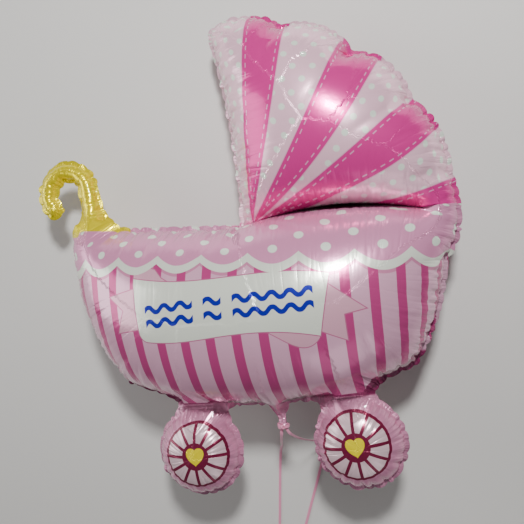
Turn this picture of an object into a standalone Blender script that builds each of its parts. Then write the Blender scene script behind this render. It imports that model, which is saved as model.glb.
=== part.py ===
"""Foil balloon in the shape of a baby carriage, lying on its back, with the ribbon tied round its tail.

The drawing plane is the plane of the welded seam. Drawing X runs from the handle to the hood's back, drawing Y
runs from the wheels to the top of the hood, and drawing (0, 0) is the point that the hood's ribs fan out from.
The finished object lies on its back, where its weight lets it come to rest, with the printed front up, +Y towards
the top of the hood and its origin under the middle of the balloon, on the surface that it lies on. All sizes are
in metres, as the inflated balloon measures.
"""

import math

import bmesh
import bpy
import numpy as np
from mathutils import Matrix, Vector
from mathutils.geometry import delaunay_2d_cdt, interpolate_bezier

# Hood: a fan with a lobe between each two ribs. The depths are those of the notches where the ribs end, from the
# hood's back to the tip of its front.
HOOD_RADIUS = 0.344
HOOD_BACK_DEG = -14.0
HOOD_FRONT_DEG = 94.0
HOOD_NOTCH_DEPTHS = (0.017, 0.006, 0.016, 0.025, 0.020, 0.017)
HOOD_FRONT_HOLLOW = 0.010

# Basket: a boat shape below the hood, with a straight rim on its open side.
MOUTH_CORNER = (0.002, -0.002)
MOUTH_ROUNDING = 0.007
RIM_LEFT = (-0.312, 0.025)
BASKET_LEFT_LOW = (-0.232, -0.246)
BASKET_RIGHT_LOW = (0.256, -0.243)
BASKET_FRONT_SWELL = 0.025
BASKET_BACK_SWELL = 0.011
BASKET_BOTTOM_SWELL = 0.050

# Weld between the hood and the basket, from the mouth's corner to a short way from the back seam.
CROSS_WELD_END = (0.290, -0.004)
CROSS_WELD_RISE = 0.016

# Wheels, and the necks that join them to the basket.
WHEEL_RADIUS = 0.0705
WHEEL_CENTRES = ((-0.116, -0.374), (0.158, -0.368))
NECK_HALF_WIDTH = 0.018

# Tail: the filling neck, gathered to a thick bunch where the ribbon is tied round it.
TAIL_TOP = (0.030, -0.294)
TAIL_WAIST = (0.0325, -0.321)
TAIL_TIP = (0.0335, -0.334)
TAIL_TOP_HALF_WIDTH = 0.017
TAIL_WAIST_HALF_WIDTH = 0.003
TAIL_SEAM_WIDTH = 0.0022
GATHERED_THICKNESS = 0.007

# Handle: a stem that curls over into a hook.
HOOK_CENTRE = (-0.318, 0.096)
HOOK_RADIUS = 0.040
HOOK_END_DEG = 215.0
HANDLE_HALF_WIDTH = 0.0140
STEM_FOOT = (-0.266, 0.004)
STEM_FOOT_HALF_WIDTH = 0.022

# Foil: the flat edge outside the weld, and how round the gas makes the shape.
SEAM_WIDTH = 0.0065
SEAM_THICKNESS = 0.0012
WEB_BLEND = 0.042
ROUNDNESS_RATIO = 0.90
FLAT_SPOT_DEPTH = 0.004

# Puckers: the folds that the spare length of the seam makes.
PUCKER_PITCH = 0.030
PUCKER_REACH = 0.022
PUCKER_SHARE = 0.22
SEAM_WAVE = 0.0020

# Mesh: how far apart its points are.
TRACING_STEP = 0.006
SEAM_SPACING = 0.0080
INNER_SPACING = 0.0195
INNER_RING_DEPTH = 0.0065

# Ribbon: two flat strands from the tie to a knot each. A route is told from where its strand leaves the tie, with
# the share of the way down to the floor at each of its points.
RIBBON_WIDTH = 0.005
RIBBON_THICKNESS = 0.0006
TIE_WIDTH = 0.006
TIE_THICKNESS = 0.0018
KNOT_RADIUS = 0.0048
KNOT_FLATNESS = 0.6
FACE_GAP = 0.0003
STRAND_SPACING = 0.0064
STRAND_POINT_STEP = 0.013
STRAND_ROUTES = {
    "strand_left": ((-0.004, -0.016), (-0.013, -0.042), (-0.023, -0.064), (-0.033, -0.083), (-0.041, -0.102),
                    (-0.046, -0.125), (-0.053, -0.175), (-0.061, -0.235), (-0.068, -0.285)),
    "strand_right": ((0.006, -0.014), (0.017, -0.036), (0.026, -0.058), (0.032, -0.078), (0.034, -0.097),
                     (0.032, -0.118), (0.019, -0.156), (-0.003, -0.215), (-0.029, -0.285)),
}
STRAND_DROPS = (0.04, 0.25, 0.55, 0.80, 0.95, 1.0, 1.0, 1.0, 1.0)


def arc_between(start, end, swell, count):
    """Points of the arc from start to end, its end left out, that swells to the right of its way."""
    start = np.array(start)
    end = np.array(end)
    half = np.linalg.norm(end - start) / 2
    along = (end - start) / (2 * half)
    side = np.array([along[1], -along[0]])
    radius = (half**2 + swell**2) / (2 * swell)
    centre = (start + end) / 2 + side * (swell - radius)
    reach = math.asin(half / abs(radius))
    turns = np.linspace(-reach, reach, count, endpoint=False)
    return [centre + side * radius * math.cos(t) + along * abs(radius) * math.sin(t) for t in turns]


def hood_arc():
    """Points along the hood's lobed top, from its back to the tip of its front."""
    points = []
    lobes = len(HOOD_NOTCH_DEPTHS) - 1
    for place in np.linspace(0, lobes, 24 * lobes + 1):
        lobe = math.sqrt(abs(math.sin(math.pi * place)))
        depth = np.interp(place, range(lobes + 1), HOOD_NOTCH_DEPTHS)
        angle = math.radians(HOOD_BACK_DEG + place / lobes * (HOOD_FRONT_DEG - HOOD_BACK_DEG))
        radius = HOOD_RADIUS - depth * (1 - lobe)
        points.append(np.array([radius * math.cos(angle), radius * math.sin(angle)]))
    return points


def body_outline():
    """The weld line of basket and hood as a closed polygon."""
    hood = hood_arc()
    corner_up = np.array(MOUTH_CORNER) + (0, MOUTH_ROUNDING)
    corner_left = np.array(MOUTH_CORNER) - (MOUTH_ROUNDING, 0)
    points = arc_between(BASKET_RIGHT_LOW, hood[0], BASKET_BACK_SWELL, 16)
    points += hood
    points += arc_between(hood[-1], corner_up, -HOOD_FRONT_HOLLOW, 16)[1:]
    points += [corner_up, corner_left]
    points += arc_between(RIM_LEFT, BASKET_LEFT_LOW, BASKET_FRONT_SWELL, 16)
    points += arc_between(BASKET_LEFT_LOW, BASKET_RIGHT_LOW, BASKET_BOTTOM_SWELL, 24)
    return np.array(points)


def polygon_distance(points, polygon):
    """Distance of each point from a closed polygon, negative inside it."""
    nearest = np.full(len(points), np.inf)
    inside = np.zeros(len(points), dtype=bool)
    for start, end in zip(polygon, np.roll(polygon, -1, axis=0)):
        edge = end - start
        offset = points - start
        share = np.clip(offset @ edge / (edge @ edge), 0, 1)
        nearest = np.minimum(nearest, np.linalg.norm(offset - share[:, None] * edge, axis=1))
        if start[1] != end[1]:
            crosses = (start[1] > points[:, 1]) != (end[1] > points[:, 1])
            inside ^= crosses & (offset[:, 0] < offset[:, 1] * edge[0] / edge[1])
    return np.where(inside, -nearest, nearest)


def bar_distance(points, start, end, start_half_width, end_half_width):
    """Distance of each point from a round-ended bar whose width changes evenly along it."""
    start = np.array(start)
    edge = np.array(end) - start
    offset = points - start
    share = np.clip(offset @ edge / (edge @ edge), 0, 1)
    width = start_half_width + share * (end_half_width - start_half_width)
    return np.linalg.norm(offset - share[:, None] * edge, axis=1) - width


def handle_distance(points):
    """Distance of each point from the hooked handle."""
    centre = np.array(HOOK_CENTRE)
    offset = points - centre
    turn = np.degrees(np.arctan2(offset[:, 1], offset[:, 0])) % 360
    end_angle = math.radians(HOOK_END_DEG)
    hook_end = centre + HOOK_RADIUS * np.array([math.cos(end_angle), math.sin(end_angle)])
    on_hook = np.abs(np.linalg.norm(offset, axis=1) - HOOK_RADIUS)
    off_hook = np.linalg.norm(points - hook_end, axis=1)
    hook = np.where(turn <= HOOK_END_DEG, on_hook, off_hook) - HANDLE_HALF_WIDTH
    stem_top = centre + (HOOK_RADIUS, 0)
    stem = bar_distance(points, stem_top, STEM_FOOT, HANDLE_HALF_WIDTH, STEM_FOOT_HALF_WIDTH)
    return np.minimum(hook, stem)


def webbed(first, second):
    """Two distances joined into one, with a web of foil where their shapes meet."""
    overlap = np.maximum(WEB_BLEND - np.abs(first - second), 0) / WEB_BLEND
    return np.minimum(first, second) - overlap**2 * WEB_BLEND / 4


def seam_distance(points):
    """Distance of each point from the weld line of the whole balloon, negative inside it."""
    distance = polygon_distance(points, body_outline())
    for centre in WHEEL_CENTRES:
        wheel = np.linalg.norm(points - np.array(centre), axis=1) - WHEEL_RADIUS
        neck_top = (centre[0], centre[1] + WHEEL_RADIUS + SEAM_WIDTH + NECK_HALF_WIDTH)
        neck = bar_distance(points, centre, neck_top, NECK_HALF_WIDTH, NECK_HALF_WIDTH)
        distance = webbed(distance, np.minimum(wheel, neck))
    for start, end, start_half_width in (
        (TAIL_TOP, TAIL_WAIST, TAIL_TOP_HALF_WIDTH),
        (TAIL_WAIST, TAIL_TIP, TAIL_WAIST_HALF_WIDTH),
    ):
        distance = np.minimum(distance, bar_distance(points, start, end, start_half_width, TAIL_WAIST_HALF_WIDTH))
    return webbed(distance, handle_distance(points))


def edge_width(points):
    """Width of the flat foil edge outside the weld, narrower where the tail is gathered."""
    from_tail = bar_distance(points, TAIL_TOP, TAIL_TIP, 0, 0)
    share = np.clip(from_tail / (4 * SEAM_WIDTH), 0, 1)
    return TAIL_SEAM_WIDTH + share * (SEAM_WIDTH - TAIL_SEAM_WIDTH)


def edge_distance(points):
    """Distance of each point from the cut edge of the foil, negative inside it."""
    return seam_distance(points) - edge_width(points)


def ring_distance(points):
    """Distance of each point from the first ring of points inside the weld."""
    return seam_distance(points) + INNER_RING_DEPTH


def drawing_limits():
    """Lowest and highest corner of the drawing, with room for the foil edge."""
    corners = np.concatenate([
        body_outline(),
        np.array(WHEEL_CENTRES) - WHEEL_RADIUS,
        np.array([HOOK_CENTRE]) - (HOOK_RADIUS + HANDLE_HALF_WIDTH, 0),
    ])
    room = 3 * SEAM_WIDTH
    return corners.min(axis=0) - room, corners.max(axis=0) + room


def slope(distance, points):
    """Direction in which a distance grows fastest, at each point."""
    step = 1e-4
    across = distance(points + (step, 0)) - distance(points - (step, 0))
    up = distance(points + (0, step)) - distance(points - (0, step))
    grown = np.stack([across, up], axis=1)
    return grown / np.maximum(np.linalg.norm(grown, axis=1), 1e-12)[:, None]


def cell_links(below, i, j):
    """Pairs of crossed sides of one grid cell, for the corners that lie below zero."""
    sides = []
    if below[i, j] != below[i + 1, j]:
        sides.append(("x", i, j))
    if below[i + 1, j] != below[i + 1, j + 1]:
        sides.append(("y", i + 1, j))
    if below[i, j + 1] != below[i + 1, j + 1]:
        sides.append(("x", i, j + 1))
    if below[i, j] != below[i, j + 1]:
        sides.append(("y", i, j))
    return [(sides[k], sides[k + 1]) for k in range(0, len(sides), 2)]


def trace(distance):
    """The longest closed line along which a distance is zero, counterclockwise."""
    low, high = drawing_limits()
    xs = np.arange(low[0], high[0], TRACING_STEP)
    ys = np.arange(low[1], high[1], TRACING_STEP)
    grid = np.stack(np.meshgrid(xs, ys, indexing="ij"), axis=-1)
    values = distance(grid.reshape(-1, 2)).reshape(grid.shape[:2])
    below = values < 0
    mixed = np.zeros_like(below[:-1, :-1])
    for di, dj in ((1, 0), (0, 1), (1, 1)):
        mixed |= below[: len(xs) - 1, : len(ys) - 1] != below[di : len(xs) - 1 + di, dj : len(ys) - 1 + dj]
    links = {}
    for i, j in np.argwhere(mixed):
        for first, second in cell_links(below, i, j):
            links.setdefault(first, []).append(second)
            links.setdefault(second, []).append(first)
    loops = []
    while links:
        side = next(iter(links))
        loop = []
        while side is not None:
            loop.append(side)
            neighbours = links.pop(side)
            side = next((other for other in neighbours if other in links), None)
        loops.append(loop)
    points = []
    for kind, i, j in max(loops, key=len):
        ahead = (1, 0) if kind == "x" else (0, 1)
        here, there = values[i, j], values[i + ahead[0], j + ahead[1]]
        share = here / (here - there)
        points.append(grid[i, j] + share * TRACING_STEP * np.array(ahead))
    points = np.array(points)
    ahead = np.roll(points, -1, axis=0)
    doubled_area = (points[:, 0] * ahead[:, 1] - ahead[:, 0] * points[:, 1]).sum()
    return points if doubled_area > 0 else points[::-1]


def evenly_spaced(loop, spacing):
    """Points at equal steps along a closed line."""
    closed = np.concatenate([loop, loop[:1]])
    runs = np.concatenate([[0], np.cumsum(np.linalg.norm(np.diff(closed, axis=0), axis=1))])
    count = max(8, round(runs[-1] / spacing))
    places = np.arange(count) * runs[-1] / count
    return np.stack([np.interp(places, runs, closed[:, k]) for k in range(2)], axis=1)


def ring(distance, spacing):
    """Evenly spaced points on the line where a distance is zero."""
    points = evenly_spaced(trace(distance), spacing)
    for _ in range(2):
        points -= slope(distance, points) * distance(points)[:, None]
    return points


def cross_weld(seam):
    """Points of the weld between hood and basket, the first of them the seam's own nearest point."""
    corner = seam[np.argmin(np.linalg.norm(seam - np.array(MOUTH_CORNER), axis=1))]
    length = np.linalg.norm(np.array(CROSS_WELD_END) - corner)
    count = round(length / (1.2 * SEAM_SPACING))
    points = arc_between(corner, CROSS_WELD_END, -CROSS_WELD_RISE, count) + [np.array(CROSS_WELD_END)]
    return np.array(points)


def inner_lattice(weld):
    """Points of a triangular lattice inside the first ring, clear of the weld across the body."""
    low, high = drawing_limits()
    rows = np.arange(low[1], high[1], INNER_SPACING * math.sqrt(0.75))
    columns = np.arange(low[0], high[0], INNER_SPACING)
    points = np.array([(x + (k % 2) * INNER_SPACING / 2, y) for k, y in enumerate(rows) for x in columns])
    deep = ring_distance(points) < -0.55 * INNER_SPACING
    points = points[deep]
    beside_weld = np.concatenate([weld[1:] + side for side in ((0, INNER_RING_DEPTH), (0, -INNER_RING_DEPTH))])
    beside_weld = beside_weld[ring_distance(beside_weld) < -0.3 * INNER_RING_DEPTH]
    gaps = np.linalg.norm(points[:, None] - beside_weld[None], axis=2).min(axis=1)
    return np.concatenate([points[gaps > 0.6 * INNER_SPACING], beside_weld])


def flat_pattern():
    """Flat mesh of one foil: its points, its triangles, and masks of the points on its edge and on a weld."""
    edge = ring(edge_distance, SEAM_SPACING)
    seam = ring(seam_distance, SEAM_SPACING)
    inner = ring(ring_distance, SEAM_SPACING * 1.15)
    weld = cross_weld(seam)
    lattice = inner_lattice(weld)
    start = int(np.argmin(np.linalg.norm(seam - weld[0], axis=1)))
    groups = [edge, seam, weld[1:], inner, lattice]
    first = np.cumsum([0] + [len(group) for group in groups])
    lines = []
    for k in range(2):
        count = len(groups[k])
        lines += [(first[k] + i, first[k] + (i + 1) % count) for i in range(count)]
    chain = [first[1] + start] + list(range(first[2], first[3]))
    lines += list(zip(chain, chain[1:]))
    points = np.concatenate(groups)
    outer = [list(range(len(edge)))]
    flat, _, faces, sources, _, _ = delaunay_2d_cdt(
        [Vector(p) for p in points], [tuple(map(int, line)) for line in lines], outer, 1, 1e-7, True
    )
    flat = np.array([tuple(p) for p in flat])
    on_edge = np.array([any(s < first[1] for s in source) for source in sources])
    on_weld = np.array([any(first[1] <= s < first[3] for s in source) for source in sources])
    triangles = np.array(faces)
    triangles = triangles[edge_distance(flat[triangles].mean(axis=1)) < -0.1 * TAIL_SEAM_WIDTH]
    return flat, triangles, on_edge, on_weld, seam


def gas_height(flat, triangles, fixed):
    """Half the gas depth at each point: the height of a soap film over the same welds, made round."""
    count = len(flat)
    stiffness = np.zeros((count, count))
    load = np.zeros(count)
    for corners in triangles:
        place = flat[corners]
        edges = place[[2, 0, 1]] - place[[1, 2, 0]]
        area = (edges[0, 0] * edges[1, 1] - edges[0, 1] * edges[1, 0]) / 2
        stiffness[np.ix_(corners, corners)] += edges @ edges.T / (4 * area)
        load[corners] += area / 3
    film = np.zeros(count)
    free = ~fixed
    film[free] = np.linalg.solve(stiffness[np.ix_(free, free)], load[free])
    return ROUNDNESS_RATIO * np.sqrt(2 * np.maximum(film, 0))


def pucker_phase(flat, seam):
    """Distance of each point from the seam, and its place in the row of puckers."""
    steps = np.linalg.norm(np.roll(seam, -1, axis=0) - seam, axis=1)
    places = np.concatenate([[0], np.cumsum(steps)[:-1]])
    turns = round(steps.sum() / PUCKER_PITCH) / steps.sum()
    gaps = np.linalg.norm(flat[:, None] - seam[None], axis=2)
    nearest = np.argmin(gaps, axis=1)
    return gaps[np.arange(len(flat)), nearest], 2 * math.pi * turns * places[nearest]


def tie_place():
    """Middle of the tie in the drawing: its lower face is just past the end of the tail."""
    tail_end = TAIL_TIP[1] - TAIL_WAIST_HALF_WIDTH - TAIL_SEAM_WIDTH
    return np.array([TAIL_TIP[0], tail_end - FACE_GAP + TIE_WIDTH / 2])


def inflated_balloon():
    """Points and triangles of the filled balloon, with the drawing plane at height 0."""
    flat, triangles, on_edge, on_weld, seam = flat_pattern()
    depth = gas_height(flat, triangles, on_edge | on_weld)
    away, phase = pucker_phase(flat, seam)
    fade = np.exp(-away / PUCKER_REACH)
    from_tail = bar_distance(flat, TAIL_TOP, TAIL_TIP, 0, 0)
    calm = np.clip(from_tail / (3 * TAIL_TOP_HALF_WIDTH) - 0.5, 0, 1)
    depth *= 1 - PUCKER_SHARE * calm * fade * (0.5 + 0.5 * np.cos(phase))
    gathered = np.exp(-((np.linalg.norm(flat - tie_place(), axis=1) / (2 * TIE_WIDTH)) ** 2))
    half = np.maximum(depth + SEAM_THICKNESS / 2, gathered * GATHERED_THICKNESS / 2)
    wave = SEAM_WAVE * calm * np.exp(-away / SEAM_WIDTH) * np.sin(phase)
    count = len(flat)
    front = np.column_stack([flat, wave + half])
    back = np.column_stack([flat, wave - half])
    faces = [tuple(t) for t in triangles] + [tuple(t[::-1] + count) for t in triangles]
    edges = {}
    for a, b, c in triangles:
        for pair in ((a, b), (b, c), (c, a)):
            edges[pair] = True
    rim = [pair for pair in edges if (pair[1], pair[0]) not in edges]
    faces += [(b, a, a + count, b + count) for a, b in rim]
    return np.concatenate([front, back]), faces


def centre_of_mass(points, faces):
    """Middle of the volume inside closed faces."""
    triangles = np.array([(face[0], face[k], face[k + 1]) for face in faces for k in range(1, len(face) - 1)])
    a, b, c = (points[triangles[:, k]] for k in range(3))
    volumes = np.einsum("ij,ij->i", a, np.cross(b, c))
    return ((a + b + c) * volumes[:, None]).sum(axis=0) / (4 * volumes.sum())


def resting_turn(points, faces):
    """The turn that brings the centre of mass lowest over a floor, near to lying flat on the back."""
    offset = points - centre_of_mass(points, faces)

    def height(across, along):
        turn = Matrix.Rotation(across, 3, "X") @ Matrix.Rotation(along, 3, "Y")
        return -(offset @ np.array(turn)[2]).min()

    angles = (0.0, 0.0)
    step = math.radians(4)
    while step > math.radians(0.01):
        tries = [(angles[0] + i * step, angles[1] + j * step) for i in (-1, 0, 1) for j in (-1, 0, 1)]
        best = min(tries, key=lambda pair: height(*pair))
        if height(*best) < height(*angles):
            angles = best
        else:
            step /= 2
    return Matrix.Rotation(angles[0], 4, "X") @ Matrix.Rotation(angles[1], 4, "Y")


def laid_down(points, faces):
    """The balloon's points on the floor, with flat spots there, and the move that laid the drawing down."""
    turn = resting_turn(points, faces)
    laid = points @ np.array(turn)[:3, :3].T
    middle = (laid.min(axis=0) + laid.max(axis=0)) / 2
    floor = laid[:, 2].min() + FLAT_SPOT_DEPTH
    move = Matrix.Translation((-middle[0], -middle[1], -floor)) @ turn
    laid -= (middle[0], middle[1], floor)
    laid[:, 2] = np.maximum(laid[:, 2], 0)
    return laid, move


def smooth_route(points, step):
    """Points at equal steps along a smooth line through some points."""
    places = [Vector(p) for p in points]
    ahead = [places[0] * 2 - places[1]] + places + [places[-1] * 2 - places[-2]]
    dense = []
    for k in range(1, len(ahead) - 2):
        first, second = ahead[k], ahead[k + 1]
        dense += interpolate_bezier(
            first, first + (second - ahead[k - 1]) / 6, second - (ahead[k + 2] - first) / 6, second, 24
        )[:-1]
    dense = np.array([tuple(p) for p in dense + [places[-1]]])
    runs = np.concatenate([[0], np.cumsum(np.linalg.norm(np.diff(dense, axis=0), axis=1))])
    count = round(runs[-1] / step)
    even = np.linspace(0, runs[-1], count + 1)
    return np.stack([np.interp(even, runs, dense[:, k]) for k in range(3)], axis=1)


def add_mesh(name, points, faces, material, collection):
    """A mesh object with outward faces."""
    mesh = bpy.data.meshes.new(name)
    mesh.from_pydata([tuple(p) for p in points], [], [tuple(int(i) for i in face) for face in faces])
    solid = bmesh.new()
    solid.from_mesh(mesh)
    bmesh.ops.recalc_face_normals(solid, faces=solid.faces)
    solid.to_mesh(mesh)
    solid.free()
    mesh.materials.append(material)
    made = bpy.data.objects.new(name, mesh)
    collection.objects.link(made)
    return made


def add_tie(balloon_points, move, material, collection):
    """The band of ribbon wound round the tail, just clear of the gathered foil."""
    middle = np.array([*tie_place(), 0])
    offset = np.abs(balloon_points - middle)
    near = (offset[:, 1] < TIE_WIDTH) & (offset[:, 0] < TAIL_TOP_HALF_WIDTH)
    across, high = offset[near, 0], offset[near, 2]
    grow = np.hypot(across / across.max(), high / high.max()).max()
    spread = grow * np.array([across.max(), high.max()]) + FACE_GAP
    rings = []
    turns = np.linspace(0, 2 * math.pi, 28, endpoint=False)
    for along, out in ((-0.5, 0), (0.5, 0), (0.5, 0.7), (0.2, 1), (-0.2, 1), (-0.5, 0.7)):
        reach = spread + out * TIE_THICKNESS
        rings.append([
            (middle[0] + reach[0] * math.cos(t), middle[1] + along * TIE_WIDTH, middle[2] + reach[1] * math.sin(t))
            for t in turns
        ])
    points = [move @ Vector(p) for one in rings for p in one]
    size = len(turns)
    faces = []
    for k in range(len(rings)):
        for i in range(size):
            a, b = k * size + i, k * size + (i + 1) % size
            shift = ((k + 1) % len(rings) - k) * size
            faces.append((a, b, b + shift, a + shift))
    add_mesh("tie", points, faces, material, collection)


def add_strand(name, side, route, move, material, collection):
    """One flat strand, which leaves the tie on one side, falls to the floor and lies on it."""
    low = RIBBON_THICKNESS / 2 + FACE_GAP
    tie = tie_place()
    start = move @ Vector((tie[0] + side * STRAND_SPACING / 2, tie[1] - TIE_WIDTH / 2 - FACE_GAP, 0))
    points = [start]
    points += [start + Vector((x, y, (low - start.z) * drop)) for (x, y), drop in zip(route, STRAND_DROPS)]
    places = smooth_route(points, STRAND_POINT_STEP)
    places[:, 2] = np.maximum(places[:, 2], low)
    curve = bpy.data.curves.new(name, "CURVE")
    curve.dimensions = "3D"
    curve.twist_mode = "Z_UP"
    curve.bevel_depth = RIBBON_THICKNESS / 2
    curve.extrude = (RIBBON_WIDTH - RIBBON_THICKNESS) / 2
    curve.bevel_resolution = 2
    curve.use_fill_caps = True
    spline = curve.splines.new("POLY")
    spline.points.add(len(places) - 1)
    for point, place in zip(spline.points, places):
        point.co = (*place, 1)
        point.tilt = math.pi / 2
    curve.materials.append(material)
    made = bpy.data.objects.new(name, curve)
    collection.objects.link(made)
    return places


def add_knot(name, places, material, collection):
    """The small knot that a strand ends in, lying on the floor."""
    ahead = places[-1] - places[-2]
    ahead /= np.linalg.norm(ahead)
    centre = places[-1] + ahead * (KNOT_RADIUS + FACE_GAP)
    lump = bmesh.new()
    bmesh.ops.create_uvsphere(lump, u_segments=16, v_segments=10, radius=KNOT_RADIUS)
    squash = Matrix.Diagonal((1, 1, KNOT_FLATNESS, 1))
    height = KNOT_RADIUS * KNOT_FLATNESS + FACE_GAP
    bmesh.ops.transform(lump, matrix=Matrix.Translation((centre[0], centre[1], height)) @ squash, verts=lump.verts)
    points = [tuple(v.co) for v in lump.verts]
    faces = [tuple(v.index for v in face.verts) for face in lump.faces]
    lump.free()
    add_mesh(name, points, faces, material, collection)


def add_material(name, colour, metallic, roughness):
    """A plain finish."""
    material = bpy.data.materials.new(name)
    material.use_nodes = True
    surface = material.node_tree.nodes["Principled BSDF"]
    surface.inputs["Base Color"].default_value = (*colour, 1)
    surface.inputs["Metallic"].default_value = metallic
    surface.inputs["Roughness"].default_value = roughness
    return material


def build():
    """The balloon, the tie and the two strands, with the origin under the middle of the balloon."""
    for old in list(bpy.data.objects):
        bpy.data.objects.remove(old)
    collection = bpy.data.collections.new("foil_carriage_balloon")
    bpy.context.scene.collection.children.link(collection)
    foil = add_material("printed foil", (0.86, 0.52, 0.68), 0.3, 0.25)
    ribbon = add_material("pale pink ribbon", (0.90, 0.66, 0.74), 0.0, 0.35)
    points, faces = inflated_balloon()
    laid, move = laid_down(points, faces)
    add_mesh("balloon", laid, faces, foil, collection)
    add_tie(points, move, ribbon, collection)
    for side, (name, route) in zip((-1, 1), STRAND_ROUTES.items()):
        places = add_strand(name, side, route, move, ribbon, collection)
        add_knot(name.replace("strand", "knot"), places, ribbon, collection)


build()
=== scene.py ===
"""Looks of a foil balloon in the shape of a baby carriage, filled with gas and laid on its back.

The foil is drawn flat first, in the plane of its welded seam: X from the handle to the hood's back, Y from
the wheels to the top of the hood, and (0, 0) where the hood's ribs meet. Then it is filled, puckered along
its welds, laid down on the CAD balloon's place and printed. All sizes are in metres.
"""

from __future__ import annotations

import logging
import math
from collections.abc import Callable
from dataclasses import dataclass, field
from enum import Enum

import bpy
import numpy as np
from mathutils import Matrix, Vector
from mathutils.geometry import delaunay_2d_cdt
from mathutils.kdtree import KDTree

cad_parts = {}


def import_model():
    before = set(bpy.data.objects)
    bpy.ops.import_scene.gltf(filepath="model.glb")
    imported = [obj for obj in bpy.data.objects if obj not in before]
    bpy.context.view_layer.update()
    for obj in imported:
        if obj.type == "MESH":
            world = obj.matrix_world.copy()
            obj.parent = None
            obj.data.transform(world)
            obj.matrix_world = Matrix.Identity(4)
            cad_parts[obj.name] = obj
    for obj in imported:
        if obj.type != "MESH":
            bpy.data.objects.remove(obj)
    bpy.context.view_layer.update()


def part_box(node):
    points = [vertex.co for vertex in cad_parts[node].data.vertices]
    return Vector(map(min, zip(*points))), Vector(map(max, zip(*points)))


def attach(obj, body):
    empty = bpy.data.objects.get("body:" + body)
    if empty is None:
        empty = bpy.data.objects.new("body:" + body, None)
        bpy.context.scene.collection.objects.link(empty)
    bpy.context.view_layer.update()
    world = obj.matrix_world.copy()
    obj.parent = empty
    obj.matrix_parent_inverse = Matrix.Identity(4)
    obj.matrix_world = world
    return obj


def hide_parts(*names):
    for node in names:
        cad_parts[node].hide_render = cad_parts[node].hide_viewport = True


LOG = logging.getLogger("carriage_balloon")
Array = np.ndarray
Pair = tuple[float, float]
Place = tuple[float, float, float]
Colour = tuple[float, float, float]
Distance = Callable[[Array], Array]
ORIGIN = (0, 0, 0)
SMOOTH_ANGLE = math.radians(40)
EDGE_BLUR = 0.0004


class Face(Enum):
    """One of the two foils: the one turned up, or the one that the balloon lies on."""

    FRONT = 1
    BACK = -1


def arc_between(start: Pair, end: Pair, swell: float, count: int) -> list[Array]:
    """Points of the arc from start to end, its end left out.

    Args:
        start: First point of the arc.
        end: Point that the arc runs up to.
        swell: How far the arc stands out to the right of its way.
        count: Number of points.

    Returns:
        The points in order.
    """
    first, last = np.array(start), np.array(end)
    half = np.linalg.norm(last - first) / 2
    along = (last - first) / (2 * half)
    side = np.array([along[1], -along[0]])
    radius = (half**2 + swell**2) / (2 * swell)
    centre = (first + last) / 2 + side * (swell - radius)
    reach = math.asin(half / abs(radius))
    turns = np.linspace(-reach, reach, count, endpoint=False)
    return [centre + side * radius * math.cos(t) + along * abs(radius) * math.sin(t) for t in turns]


def bar_distance(points: Array, start: Pair, end: Pair, start_half: float, end_half: float) -> Array:
    """Distance of points from a round-ended bar whose width changes evenly along it.

    Args:
        points: Points to measure.
        start: Middle of the bar's first end.
        end: Middle of its other end.
        start_half: Half the bar's width at the first end.
        end_half: Half its width at the other end.

    Returns:
        The distance of each point, negative inside the bar.
    """
    first = np.array(start)
    edge = np.array(end) - first
    offset = points - first
    share = np.clip(offset @ edge / (edge @ edge), 0, 1)
    middle_gap = np.linalg.norm(offset - share[:, None] * edge, axis=1)
    return middle_gap - (start_half + share * (end_half - start_half))


def polygon_distance(points: Array, polygon: Array) -> Array:
    """Distance of points from a closed polygon.

    Args:
        points: Points to measure.
        polygon: The polygon's corners in order.

    Returns:
        The distance of each point, negative inside the polygon.
    """
    nearest = np.full(len(points), np.inf)
    inside = np.zeros(len(points), dtype=bool)
    for start, end in zip(polygon, np.roll(polygon, -1, axis=0)):
        edge = end - start
        offset = points - start
        share = np.clip(offset @ edge / (edge @ edge), 0, 1)
        nearest = np.minimum(nearest, np.linalg.norm(offset - share[:, None] * edge, axis=1))
        if start[1] != end[1]:
            crosses = (start[1] > points[:, 1]) != (end[1] > points[:, 1])
            inside ^= crosses & (offset[:, 0] < offset[:, 1] * edge[0] / edge[1])
    return np.where(inside, -nearest, nearest)


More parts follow.
